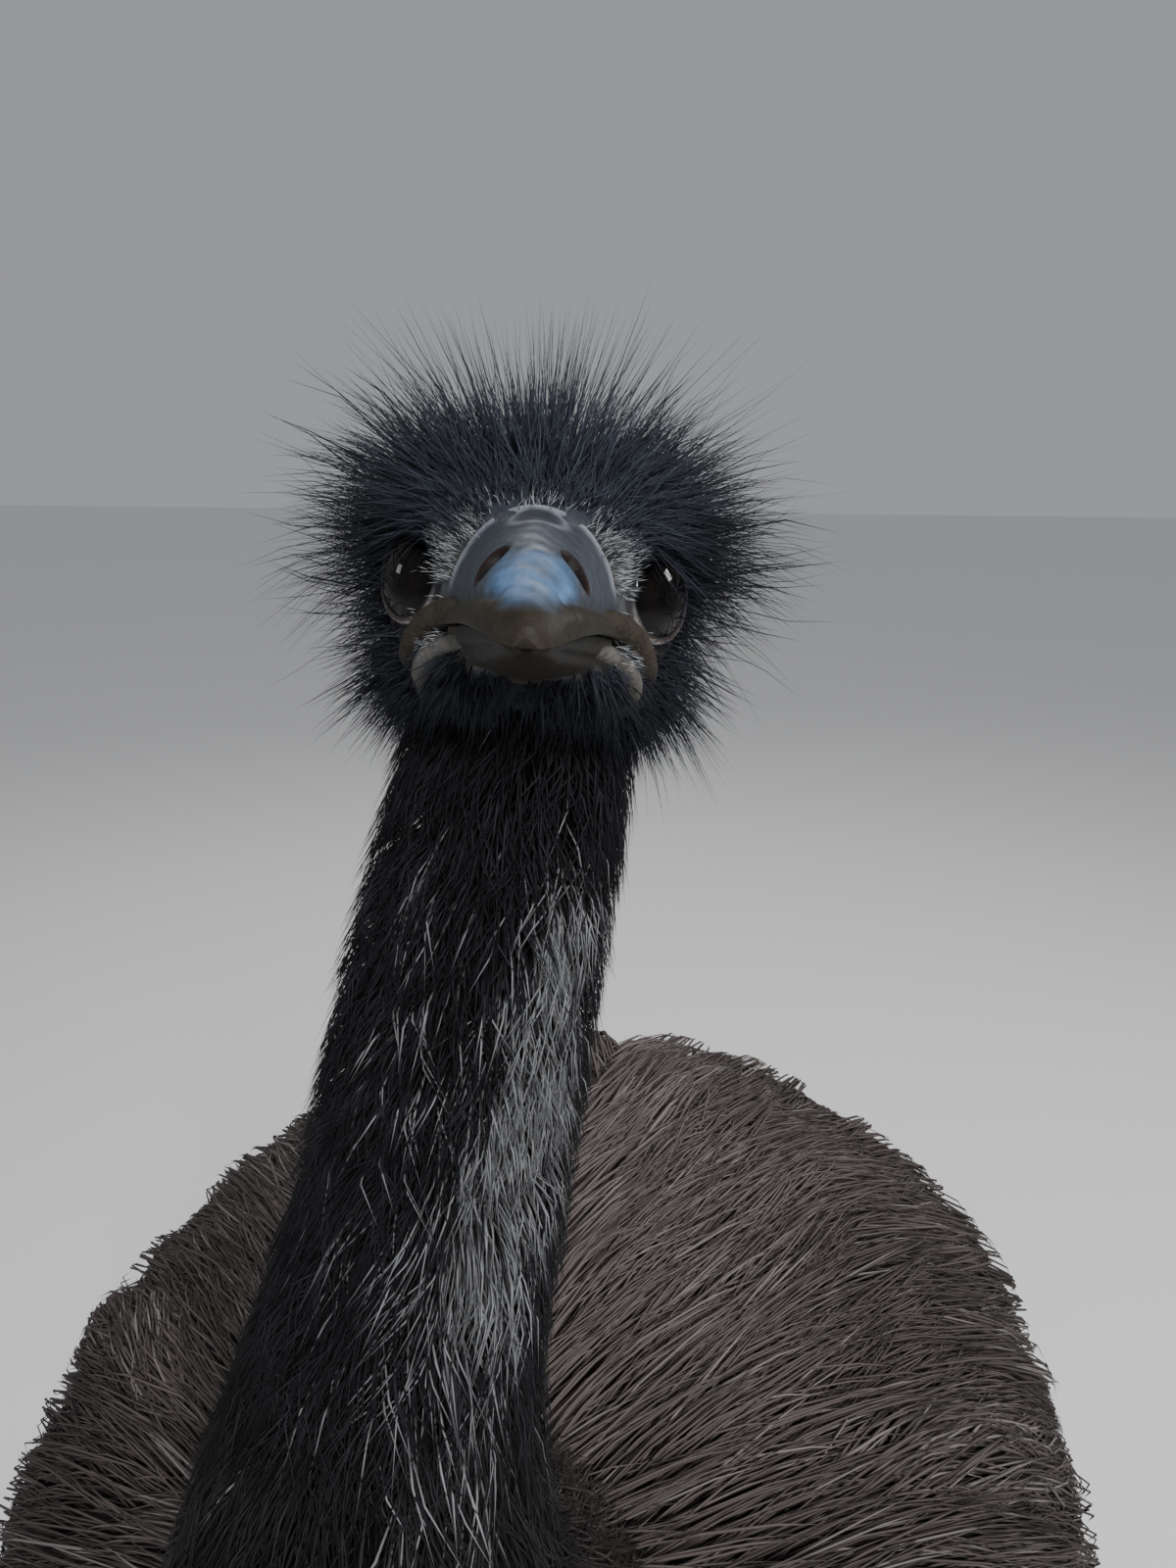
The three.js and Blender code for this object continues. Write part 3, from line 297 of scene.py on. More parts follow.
# The body's feathers. A length is the least, what a clump adds at most, and what a feather adds at most.
BODY_STRANDS, BODY_CLUMP, BODY_SPREAD = 39800, 11, 0.0105
SPREAD_ALONG, SPREAD_TIP = 1.6, 0.3
FEATHER_LENGTH = (0.064, 0.034, 0.014)
FLANK_Z, FLANK_LONGER = (0.72, 0.58), 0.35
REAR_Y, REAR_LONGER = (0.1, 0.3), 0.3
TAIL_START, TAIL_SHORTER = REAR_START + 0.04, 0.72
FRONT_END, FRONT_SHARE = 0.05, 0.6
SHOULDER_Y, SHOULDER_Z = (0.02, -0.16), (0.62, 0.76)
PLAIN_DENSITY, SHOULDER_DENSER, SHOULDER_FINER = 0.85, 0.65, 0.3
CLUMP_DRIFT, OWN_DRIFT, DRIFT_WAVES = 0.09, 0.035, ((0.18, 0.06, 0.0),)
CLUMP_TONE, OWN_TONE, TONE_WAVES, TONE_MOST = 0.33, 0.2, ((0.6, 0.035, 2.0),), 1.6
FEATHER_LIFT, CLUMP_LIFT, ROOT_DEPTH = 0.0125, 0.006, 0.004
FEATHER_WIDTH, OWN_WIDTH = 0.0016, 0.0009
LOOSE_SHARE, LOOSE_LIFT = 0.14, 0.009
HANG_SHARE, HANG_LEAST, HANG_MORE = 0.35, 0.006, 0.022
BODY_ROUGHNESS, TUBE_ROUGHNESS = 0.0009, 0.0008
PLUME_DEPTH = 0.002
PLUME_REACH, PLUME_LIFT, PLUME_WIDTH = (0.8, 0.3, 0.15), (0.7, 0.6), (0.75, 0.5)
PLUME_ALONG, PLUME_OWN_SWAY = 1.5, 0.4

# The plumes of neck, thighs and wings. Lengths, lifts, widths and density are a base and what is added
# between two places along the limb: rise, start and end.
NECK_START = 0.05
NECK_DENSITY = (1, (1.2, 0.4, 0.8))
NECK_PLUMES = {
    "strands": 34000,
    "clump": 7,
    "spread": 0.0034,
    "rings": 2,
    "length": (0.022, (0.036, 0.75, 0.3), (0.012, 0.34, 0.16)),
    "lift": (0.0095, (0.005, 0.6, 0.4), (-0.006, 0.34, 0.16)),
    "width": (0.0007, (0.0007, 0.65, 0.25)),
    "drift": 0.24,
    "turn": -1.0,
}
THIGH_START, THIGH_DENSER_FROM, THIGH_DENSER = 0.2, 0.7, 0.9
THIGH_PLUMES = {
    "strands": 5200,
    "clump": 8,
    "spread": 0.007,
    "rings": 2,
    "length": (0.035, (0.036, 0.95, 0.5)),
    "lift": (0.003, (0.009, 1.0, 0.6)),
    "width": (0.0015, (0.0007, 1.0, 0.6)),
    "drift": 0.14,
    "turn": 1.0,
}
WING_PLUMES = {
    "strands": 1400,
    "clump": 8,
    "spread": 0.006,
    "rings": 3,
    "length": (0.075,),
    "lift": (0.010,),
    "width": (0.0021,),
    "drift": 0.2,
    "turn": 1.0,
}

# Where the head's coats grow: degrees off the eye's axis, and the places between which each fades in.
CROWN_DEG, CHEEK_DEG, FACE_DEG, FULL_DEG = 55, 57, 50, 80
CROWN_LOW, CROWN_FRONT, CROWN_SIDE = (0.004, 0.012), (-0.031, -0.022), (0.012, 0.024)
CHEEK_FRONT, CHEEK_TOP = (-0.011, 0.004), (0.010, 0.004)
CHIN_TOP, CHIN_FRONT = (-0.018, -0.023), -0.036
FACE_BACK, FACE_FRONT, FACE_LOW = (0.016, 0.004), -0.0295, -0.024
EAR_CLEAR = 0.005

# The head's coats: strands, how far they stand up, their lie (spreading sideways, back and up), width, and
# what differs from HEAD_STRAND.
HEAD_STRAND = {"size": 5, "rings": 2, "sway": 0.22, "droop": 0.13, "curled": 0.12}
HEAD_COATS = {
    "crown": (9500, 0.62, (40, 0.6, 0.4), 0.00037, {"rings": 3, "sway": 0.3, "curled": 0.22}),
    "crest": (700, 0.9, (40, 0.6, 0.4), 0.0003, {"sway": 0.12, "droop": 0.04, "size": 2}),
    "down": (7500, 0.6, (20, 1.0, 0.2), 0.00036, {"sway": 0.4}),
    "cheeks": (10500, 0.62, (12, 1.0, -0.7), 0.00045, {"sway": 0.3, "curled": 0.22}),
    "chin": (3000, 0.3, (12, 1.0, -0.7), 0.0005, {}),
    "face": (10500, 0.24, (8, 1.0, 0.1), 0.00018, {"sway": 0.3}),
}
CREST_LENGTH, CHIN_LENGTH = 0.05, 0.011
HEAD_REACH, HEAD_WIDTH = (0.6, 0.45, 0.25), (0.7, 0.6)
HEAD_SCATTER, HEAD_BEND, HEAD_CURL, HEAD_ROOT_DEPTH = (0.018, 0.075), 0.18, 2.4, 0.0015

# Markings, as linear colours. Skin and coat take them from the same functions.
BLACK = np.array([0.017, 0.0185, 0.024])
NECK_BLACK = np.array([0.0155, 0.0158, 0.0185])
CROWN_GREY = np.array([0.045, 0.052, 0.068])
FACE_GREY = np.array([0.17, 0.175, 0.18])
FACE_BLUE = np.array([0.115, 0.15, 0.18])
GREY_WHITE = np.array([0.36, 0.365, 0.375])
BROWN = np.array([0.112, 0.094, 0.089])
PALE_BROWN = np.array([0.285, 0.262, 0.256])
DARK_BROWN = np.array([0.034, 0.027, 0.0245])
LID_TAN = np.array([0.085, 0.064, 0.052])
LIP_BROWN = np.array([0.034, 0.028, 0.020])
LIP_PALE = np.array([0.12, 0.108, 0.092])
SHEATH = np.array([0.036, 0.042, 0.055])
# The blue on the top of the bill's tip is a painted highlight.
SHEATH_TIP_HIGHLIGHT = np.array([0.088, 0.195, 0.37])
SHEATH_EDGE = np.array([0.020, 0.0158, 0.0098])
SHEATH_BORDER = np.array([0.27, 0.29, 0.32])
SHEATH_LOWER = np.array([0.012, 0.010, 0.0075])
HOLE_RED = np.array([0.013, 0.004, 0.003])
PUPIL_BLACK = np.array([0.0012, 0.0012, 0.0014])
IRIS_BROWN = np.array([0.0045, 0.0030, 0.0024])
LEG_GREY = np.array([0.06, 0.052, 0.047])
CLAW_BLACK = np.array([0.014, 0.012, 0.011])

# The pale band down the front of the neck, fuller on the bird's left: each line's angle and share.
# The band is the bird's own; its greater share and its swing towards the bird's left, the lit side, are
# painted light.
BAND_LINES = ((-math.pi / 2 + 0.58, 1.0), (-math.pi / 2 - 0.55, 0.25))
BAND_SWING, BAND_WIDTH, BAND_WIDER = 0.42, 0.62, 0.28
BAND_TOP, BAND_BREAK, BAND_LOW_SHARE = (0.92, 0.78), (0.66, 0.55), 0.28
BAND_DRAW, STRAY_DRAW = 0.95, 0.985
PALE_SHARE = 0.2

# Washes of colour over the bare face and the bill, in order: the colour, its full share, and the places along
# x (to either side), y and z between which it fades in. "slope" is z less BACK_SLOPE of the way back.
BACK_SLOPE = 0.3
FACE_WASHES = (
    (FACE_BLUE * 0.35, 0.9, {"y": (0.0, 0.012)}),
    (CROWN_GREY * 0.7, 1.0, {"slope": (0.006, 0.015)}),
    (BLACK, 1.0, {"z": (-0.020, -0.0245), "x": (0.030, 0.022)}),
    (BLACK * 1.4, 0.85, {"y": (-0.016, -0.006), "z": (0.0, -0.008)}),
)
LOWER_WASHES = ((LIP_PALE * 0.5, 0.5, {"y": (-0.040, -0.031)}),)

# Floor, light and camera. Each lamp has its place, its aim, the side of its square and its power in watts.
FLOOR_SIZE, FLOOR_GREY = 40.0, (0.84, 0.84, 0.84, 1)
STUDIO_GREY, STUDIO_STRENGTH = (0.62, 0.63, 0.65, 1), 0.55
LAMPS = {
    "key": ((0.95, -2.25, 2.6), (0.05, -0.2, 1.0), 0.7, 72),
    "side": ((2.3, 0.7, 2.3), (0.05, -0.1, 1.0), 0.6, 34),
    "back": ((-0.8, 2.3, 2.8), (0.0, 0.0, 0.9), 1.6, 24),
    "fill": ((-2.4, -0.7, 1.9), (0.0, -0.1, 0.9), 0.5, 5.5),
}
CAMERA_PLACE = np.array([0.1146, -0.6097, 1.250])
CAMERA_HEADING_DEG, CAMERA_PITCH_DEG = 10.0, 17.0
CAMERA_LENS, CAMERA_SENSOR, CAMERA_NEAR = 25.9, 36.0, 0.01


# Rows and curves.
def rows_at(rows, place):
    """The smooth curve through rows of (place, values...), read at many places."""
    rows = np.array(rows if rows[-1][0] > rows[0][0] else rows[::-1])
    x, values = rows[:, 0], rows[:, 1:]
    slopes = np.empty_like(values)
    slopes[1:-1] = (values[2:] - values[:-2]) / (x[2:] - x[:-2])[:, None]
    slopes[0] = (values[1] - values[0]) / (x[1] - x[0])
    slopes[-1] = (values[-1] - values[-2]) / (x[-1] - x[-2])
    place = np.clip(place, x[0], x[-1])
    i = np.clip(np.searchsorted(x, place) - 1, 0, len(x) - 2)
    span = (x[i + 1] - x[i])[..., None]
    t = ((place - x[i])[..., None]) / span
    out = hermite(t, values[i], values[i + 1], slopes[i] * span, slopes[i + 1] * span)
    return [out[..., k] for k in range(out.shape[-1])]


def hermite(t, start, end, leaving, arriving):
    """The cubic from start to end with the given slopes at its ends."""
    ends = (2 * t**3 - 3 * t**2 + 1) * start + (3 * t**2 - 2 * t**3) * end
    return ends + (t**3 - 2 * t**2 + t) * leaving + (t**3 - t**2) * arriving


def curve_through(points, count):
    """Points evenly spaced in parameter on the centripetal curve through the given ones."""
    p = np.array(points, float)
    p = np.vstack([2 * p[0] - p[1], p, 2 * p[-1] - p[-2]])
    u = np.linspace(0, 1, count) * (len(points) - 1)
    i = np.minimum(u.astype(int), len(points) - 2)
    a, b, c, d = p[i], p[i + 1], p[i + 2], p[i + 3]
    gap = [np.linalg.norm(q - r, axis=1, keepdims=True) ** 0.5 for q, r in ((b, a), (c, b), (d, c))]
    start = ((b - a) / gap[0] - (c - a) / (gap[0] + gap[1]) + (c - b) / gap[1]) * gap[1]
    end = ((c - b) / gap[1] - (d - b) / (gap[1] + gap[2]) + (d - c) / gap[2]) * gap[1]
    return hermite((u - i)[:, None], b, c, start, end)


def unit(v):
    return v / np.maximum(np.linalg.norm(v, axis=-1, keepdims=True), 1e-12)


def smooth_step(low, high, x):
    t = np.clip((x - low) / (high - low), 0, 1)
    return t * t * (3 - 2 * t)


def bump(distance, width):
    return np.exp(-((distance / width) ** 2))


def ridge(value, form):
    """A low ridge where a coordinate has one value, or a groove if its rise is negative."""
    rise, place, width = form
    return rise * bump(value - place, width)


def waves(p, scale, phase=0.0):
    """A gentle random field of about -1 to 1 over points, from sine waves."""
    turned = p @ np.array([[0.8, 0.36, -0.48], [-0.6, 0.48, -0.64], [0.0, 0.8, 0.6]])
    q = turned / scale + phase
    rough = np.sin(q[..., 0] * 2.1 + 1.7 * np.sin(q[..., 1] * 1.3)) + np.sin(q[..., 1] * 2.7 - q[..., 2])
    return (rough + np.sin(q[..., 2] * 2.3 + 1.1 * np.sin(q[..., 0] * 1.9))) / 3


def layered(p, layers):
    """The sum of several random fields, each with its height, scale and phase."""
    return sum(height * waves(p, scale, phase) for height, scale, phase in layers)


def round_grid(places, sides):
    """Every place along a form with every angle round it."""
    return np.meshgrid(places, 2 * math.pi * np.arange(sides) / sides, indexing="ij")


# Forms swept along a line, as the part has them.
class Tube:
    """A rounded form along a line, held as a table of cross-sections at even steps of u."""

    def __init__(self, centre, along, wide, high, low, power=TUBE_POWER, crest=None):
        self.power, self.crest = power, crest or power
        side = np.array([1.0, 0.0, 0.0]) - along * along[:, :1]
        side = unit(side)
        self.table = np.column_stack([centre, side, np.cross(along, side), wide, high, low])
        self.grid = np.linspace(0, 1, len(centre))

    def section(self, u):
        """The centre, side and up directions, half width, and reach above and below."""
        u = np.clip(u, 0, 1) * (len(self.grid) - 1)
        i = np.minimum(u.astype(int), len(self.grid) - 2)
        rows = self.table[i] + (self.table[i + 1] - self.table[i]) * (u - i)[..., None]
        return rows[..., 0:3], rows[..., 3:6], rows[..., 6:9], rows[..., 9], rows[..., 10], rows[..., 11]

    def point(self, u, angle, lift=0.0):
        u, angle = np.broadcast_arrays(np.asarray(u, float), np.asarray(angle, float))
        centre, side, up, wide, high, low = self.section(u)
        c, s = np.cos(angle), np.sin(angle)
        square = 2 / np.where(s > 0, self.crest, self.power)
        across = (wide + lift) * np.sign(c) * np.abs(c) ** square
        above = (np.where(s > 0, high, low) + lift) * np.sign(s) * np.abs(s) ** square
        return centre + side * across[..., None] + up * above[..., None]

    def slopes(self, u, angle):
        step = 0.002
        ahead, back = np.minimum(u + step, 1), np.maximum(u - step, 0)
        du = (self.point(ahead, angle) - self.point(back, angle)) / (ahead - back)[..., None]
        da = (self.point(u, angle + step) - self.point(u, angle - step)) / (2 * step)
        return du, da

    def normal(self, u, angle):
        du, da = self.slopes(u, angle)
        out = unit(np.cross(da, du))
        outward = self.point(u, angle) - self.section(u)[0]
        return out * np.sign((out * outward).sum(-1, keepdims=True))

    def holds(self, p, grow=0.0):
        """Whether points lie inside a form along Y, moved out by so much."""
        first, last = self.table[0, 1], self.table[-1, 1]
        u = (p[..., 1] - first) / (last - first)
        centre, _, _, wide, high, low = self.section(u)
        above = p[..., 2] - centre[..., 2]
        square = np.where(above > 0, self.crest, self.power)
        wide = np.maximum(wide + grow, 1e-9)
        tall = np.maximum(np.where(above > 0, high, low) + grow, 1e-9)
        value = (np.abs(p[..., 0]) / wide) ** square + (np.abs(above) / tall) ** square
        return (value < 1) & (u > 0) & (u < 1)

    def reach(self, start, out, far, steps):
        """How far a form along Y reaches from points inside it along directions, by halving."""
        inner, outer = np.zeros(out.shape[:-1]), np.full(out.shape[:-1], far)
        for _ in range(steps):
            middle = (inner + outer) / 2
            hit = self.holds(start + out * middle[..., None])
            inner, outer = np.where(hit, middle, inner), np.where(hit, outer, middle)
        return inner

    def scatter(self, count, allowed=None):
        """Random places, evenly spread over the surface, thinned by a weight."""
        us, angles = np.empty(0), np.empty(0)
        while len(us) < count:
            u, angle = rng.random(4 * count), rng.random(4 * count) * 2 * math.pi
            du, da = self.slopes(u, angle)
            weight = np.linalg.norm(np.cross(du, da), axis=-1)
            if allowed:
                weight = weight * allowed(u, angle)
            kept = rng.random(len(u)) * np.quantile(weight, 0.995) < weight
            us, angles = np.append(us, u[kept]), np.append(angles, angle[kept])
        return us[:count], angles[:count]

    def surface(self, mesh, lift=0.0):
        rings, sides = mesh
        u, angle = round_grid(np.linspace(0, 1, rings), sides)
        return closed_rings(self.point(u, angle, lift))


def facing_out(points, faces):
    p = points[faces]
    volume = (p[:, 0] * np.cross(p[:, 1], p[:, 2])).sum()
    return points, faces[:, ::-1] if volume < 0 else faces


def closed_rings(rings):
    """Vertices and triangles of the closed surface over rings[i, k], each end closed on a point."""
    count, sides = rings.shape[:2]
    points = np.vstack([rings.reshape(-1, 3), rings[0].mean(0), rings[-1].mean(0)])
    i, k = np.meshgrid(np.arange(count - 1), np.arange(sides), indexing="ij")
    a, b = (i * sides + k).ravel(), (i * sides + (k + 1) % sides).ravel()
    walls = np.vstack([np.column_stack([a, b, b + sides]), np.column_stack([a, b + sides, a + sides])])
    k = np.arange(sides)
    nxt, last = (k + 1) % sides, (count - 1) * sides
    start = np.column_stack([nxt, k, np.full(sides, len(points) - 2)])
    end = np.column_stack([last + k, last + nxt, np.full(sides, len(points) - 1)])
    return facing_out(points, np.vstack([walls, start, end]))


def ring_of_loops(loop):
    """The closed surface over loop[i, k], which closes on itself both ways."""
    count, sides = loop.shape[:2]
    i, k = np.meshgrid(np.arange(count), np.arange(sides), indexing="ij")
    a, b = i * sides + k, i * sides + (k + 1) % sides
    c, d = ((i + 1) % count) * sides + (k + 1) % sides, ((i + 1) % count) * sides + k
    a, b, c, d = (x.ravel() for x in (a, b, c, d))
    faces = np.vstack([np.column_stack([a, b, c]), np.column_stack([a, c, d])])
    return facing_out(loop.reshape(-1, 3), faces)


def upright_tube(outline, scale, waist, coat, power, crest, count):
    """A form along Y through an outline's rows of y, top, bottom and half width, less the coat's depth."""
    y = np.linspace(outline[0][0], outline[-1][0], count)
    top, bottom, half = (row * size for row, size in zip(rows_at(outline, y), scale))
    inset = np.minimum(coat, half / 2)
    middle = bottom + (top - bottom) * waist
    centre = np.column_stack([np.zeros(count), y, middle])
    along = np.tile([0.0, np.sign(y[-1] - y[0]), 0.0], (count, 1))
    tube = Tube(centre, along, half - inset, top - middle - inset, middle - bottom - inset, power, crest)
    tube.table[:, 6:9] = (0, 0, 1)
    return tube


def tube_along(line, radii, coat=0.0, flatten=1.0, count=TUBE_ROWS):
    """A form along the curve through a line's points, with its radii less the coat's depth."""
    centre = curve_through(line, count)
    along = unit(np.gradient(centre, axis=0))
    rows = rows_at(radii, np.linspace(0, 1, count))
    wide, high = rows[0], rows[-1]
    return Tube(centre, along, (wide - coat) * flatten, high - coat, high - coat)


# The forms of body, neck and head, and the lie of the plumage over the body.
body = upright_tube(BODY_OUTLINE, BODY_SCALE, BODY_WAIST, BODY_COAT, BODY_POWER, BACK_CREST, BODY_ROWS)
neck = tube_along(NECK_LINE, NECK_RADII, NECK_COAT, NECK_FLATTEN)
head = upright_tube(HEAD_OUTLINE, HEAD_SCALE, HEAD_WAIST, 0.0, JAW_POWER, HEAD_POWER, HEAD_ROWS)


def body_axis(y):
    y = np.clip(y, AXIS_FRONT, AXIS_REAR)
    u = (y - BODY_FRONT) / (BODY_REAR - BODY_FRONT)
    return np.stack([np.zeros_like(y), y, body.section(u)[0][..., 2]], axis=-1)


def over_body(target, rise=0.0):
    """The points over the body's core towards the targets, seen from its middle line."""
    axis = body_axis(target[..., 1])
    out = unit(target - axis)
    return axis + out * (body.reach(axis, out, *BODY_REACH) + rise)[..., None]


def inside_neck(p, grow):
    """Whether points lie inside the neck's core, moved out by so much."""
    centres, reach = neck.table[::6, :3], neck.table[::6, 9]
    far = np.linalg.norm(p[:, None] - centres[None], axis=-1)
    return (far < reach + grow).any(1)


def lie_on_body(p, out):
    """The lie of the plumage: parted along the back, backwards over the body, hanging at breast and flank."""
    side = np.where(p[..., 0] >= 0, 1.0, -1.0)
    up, ahead, back = np.maximum(out[..., 2], 0), np.maximum(-out[..., 1], 0), np.maximum(out[..., 1], 0)
    beside = np.abs(out[..., 0])
    across = side * (0.42 * up + 0.25 * ahead)
    backwards = 1 - 0.9 * ahead - 0.25 * beside
    down = 0.1 + 1.1 * ahead + 0.75 * beside + 0.6 * back
    lie = np.stack([across, backwards, -down], axis=-1)
    return unit(lie - out * (lie * out).sum(-1, keepdims=True))


# The head's surface, in its own frame.
HEAD_TURN = Euler((0, 0, math.radians(HEAD_TURN_DEG))).to_matrix()
HEAD_LIFT = Euler((math.radians(-HEAD_LIFT_DEG), 0, 0)).to_matrix()
HEAD_TILT = Euler((0, math.radians(HEAD_TILT_DEG), 0)).to_matrix()
HEAD_POSE = np.array(HEAD_TURN @ HEAD_LIFT @ HEAD_TILT)


def head_to_bird(p):
    return p @ HEAD_POSE.T + HEAD_PLACE


def eye_place(side):
    return np.array([side * EYE_SIDE, EYE_BACK, 0.0])


def eye_axis(side):
    turn = math.radians(EYE_AXIS_DEG)
    return np.array([side * math.sin(turn), -math.cos(turn), 0.0])


def degrees_off(out, side):
    """Degrees between directions and the axis of one side's eye."""
    return np.degrees(np.arccos(np.clip(out @ eye_axis(side), -1, 1)))


def near_lip(p, lip):
    """The distance of points of the head from a lip's middle line, as a share of the lip's radius there."""
    folded = np.concatenate([np.abs(p[..., :1]), p[..., 1:]], axis=-1)
    best = np.full(p.shape[:-1], np.inf)
    for a, b in zip(lip[:-1], lip[1:]):
        run = b[:3] - a[:3]
        t = np.clip(((folded - a[:3]) @ run) / (run @ run), 0, 1)
        away = np.linalg.norm(folded - (a[:3] + t[..., None] * run), axis=-1)
        best = np.minimum(best, away / (a[3] + t * (b[3] - a[3])))
    return best


def lip_surfaces():
    """The fleshy lips of both sides, as closed tapered tubes that the head's skin takes in."""
    out = []
    for side, _ in SIDES:
        for lip in (UPPER_LIP, LOWER_LIP):
            line = lip[:, :3] * np.array([side, 1, 1])
            radii = np.column_stack([np.linspace(0, 1, len(lip)), lip[:, 3]])
            out.append(tube_along(line, radii, count=LIP_ROWS).surface(LIP_MESH))
    return out


def ear_distance(p):
    side = np.sign(p[..., 0])
    place = np.stack([side * EAR_SIDE, np.full_like(side, EAR_BACK), np.full_like(side, -EAR_DOWN)], -1)
    return np.linalg.norm(p - place, axis=-1)


def head_detail(p):
    """How far the skin of the head stands off the skull's outline: brow, lores, jowl, ear and wrinkles."""
    stand = layered(p, HEAD_WRINKLES)
    for rise, y, z, width, long, tall, start, full in HEAD_SWELLINGS:
        far = np.hypot((p[..., 1] - y) / long, (p[..., 2] - z) / tall)
        stand = stand + rise * bump(far, width) * smooth_step(start, full, np.abs(p[..., 0]))
    ear = ear_distance(p)
    return stand + ridge(ear, EAR_RIM) - EAR_DEPTH * smooth_step(*EAR_HOLE, ear)


def lid_profile(degrees, skull):
    """The skin's distance from the eye's centre, at so many degrees from its axis."""
    rim = EYE_RADIUS + LID_GAP + LID_THICKNESS * smooth_step(LID_OPENING_DEG, LID_OPENING_DEG + 3, degrees)
    creases = sum(ridge(degrees, crease) for crease in LID_CREASES)
    blend = smooth_step(LID_OPENING_DEG + 4, LID_FLAT_DEG + 17, degrees)
    over = np.maximum(skull, EYE_RADIUS + 2 * LID_GAP)
    return (rim + creases) * (1 - blend) + over * blend


def eye_directions(side, degrees, around):
    """Directions at so many degrees from the eye's axis, and round it from the back of the head upward."""
    axis = eye_axis(side)
    up = np.array([0.0, 0.0, 1.0])
    back = np.cross(up, axis) * side
    off = np.radians(degrees)[..., None]
    spin = np.cos(around)[..., None] * back + np.sin(around)[..., None] * up
    return np.cos(off) * axis + np.sin(off) * spin


def lid_shell(side):
    """Both lids of one eye as a closed ring of skin over the ball, spread out to meet the head."""
    rings, sides = LID_MESH
    around = 2 * math.pi * np.arange(sides) / sides
    opening = LID_OPENING_DEG + LID_CORNER_DEG * np.abs(np.cos(around)) ** 6
    degrees = opening + (LID_END_DEG - opening) * np.linspace(0, 1, rings)[:, None] ** 1.3
    out = eye_directions(side, degrees, np.broadcast_to(around, degrees.shape))
    place = eye_place(side)
    skull = head.reach(np.broadcast_to(place, out.shape), out, *SKULL_REACH)
    sunk = LID_SINK * smooth_step(LID_END_DEG - 14, LID_END_DEG, degrees)
    reach = lid_profile(degrees - (opening - LID_OPENING_DEG), skull) - sunk
    outer = place + out * reach[..., None]
    detail = head_detail(outer) * smooth_step(LID_FLAT_DEG + 2, LID_FLAT_DEG + 12, degrees)
    outer = outer + out * detail[..., None]
    inner = place + out * (EYE_RADIUS - LID_THICKNESS)
    return ring_of_loops(np.concatenate([outer, inner[::-1]], axis=0))


def sink_round_eye(p, side):
    """Moves points of the head inside the eyeball where the lids open, and under the lids around it."""
    place = eye_place(side)
    away = p - place
    far = np.linalg.norm(away, axis=-1)
    out = away / np.maximum(far, 1e-9)[..., None]
    degrees = degrees_off(out, side)
    rise = SOCKET_RISE * smooth_step(LID_OPENING_DEG + 2, LID_FLAT_DEG + 12, degrees)
    floor = np.minimum(far, EYE_RADIUS - SOCKET_DEPTH + rise)
    keep = smooth_step(LID_FLAT_DEG + 4, LID_FLAT_DEG + 17, degrees)
    return place + out * (floor * (1 - keep) + far * keep)[..., None]


def head_surface():
    rings, sides = HEAD_MESH
    u, angle = round_grid(np.linspace(0, 1, rings), sides)
    p = head.point(u, angle)
    p = p + head.normal(u, angle) * head_detail(p)[..., None]
    for side, _ in SIDES:
        p = sink_round_eye(p, side)
    return closed_rings(p)


# Meshes.
def merged(surfaces):
    points, faces, start = [], [], 0
    for p, f in surfaces:
        points.append(p)
        faces.append(f + start)
        start += len(p)
    return np.vstack(points), np.vstack(faces)


def mesh_object(name, points, faces):
    mesh = bpy.data.meshes.new(name)
    mesh.vertices.add(len(points))
    mesh.vertices.foreach_set("co", np.asarray(points, np.float32).ravel())
    mesh.loops.add(faces.size)
    mesh.loops.foreach_set("vertex_index", np.asarray(faces, np.int32).ravel())
    mesh.polygons.add(len(faces))
    mesh.polygons.foreach_set("loop_start", np.arange(len(faces), dtype=np.int32) * faces.shape[1])
    mesh.update(calc_edges=True)
    mesh.validate()
    mesh.shade_smooth()
    obj = bpy.data.objects.new(name, mesh)
    bpy.context.scene.collection.objects.link(obj)
    return obj


def remeshed(surfaces, voxel, relax):
    """One closed skin over several closed surfaces."""
    obj = mesh_object("raw", *merged(surfaces))
    remesh = obj.modifiers.new("remesh", "REMESH")
    remesh.mode = "VOXEL"
    remesh.voxel_size = voxel
    soften = obj.modifiers.new("soften", "SMOOTH")
    soften.iterations = relax
    soften.factor = 0.5
    baked = bpy.data.meshes.new_from_object(obj.evaluated_get(bpy.context.evaluated_depsgraph_get()))
    points = np.empty(len(baked.vertices) * 3, np.float32)
    baked.vertices.foreach_get("co", points)
    quads = np.empty(len(baked.loops), np.int32)
    baked.loops.foreach_get("vertex_index", quads)
    quads = quads.reshape(-1, 4)
    bpy.data.objects.remove(obj)
    bpy.data.meshes.remove(baked)
    return points.reshape(-1, 3).astype(float), quads


def paint(obj, colour):
    rgba = np.ones((len(colour), 4), np.float32)
    rgba[:, :3] = colour
    layer = obj.data.color_attributes.new("tint", "FLOAT_COLOR", "POINT")
    layer.data.foreach_set("color", rgba.ravel())


def seat(obj, material, slot, *nodes):
    """Gives a piece its material and its place on the bird, and hides the nodes it replaces."""
    obj.data.materials.append(material)
    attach(obj, "root")
    if nodes:
        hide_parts(*nodes)


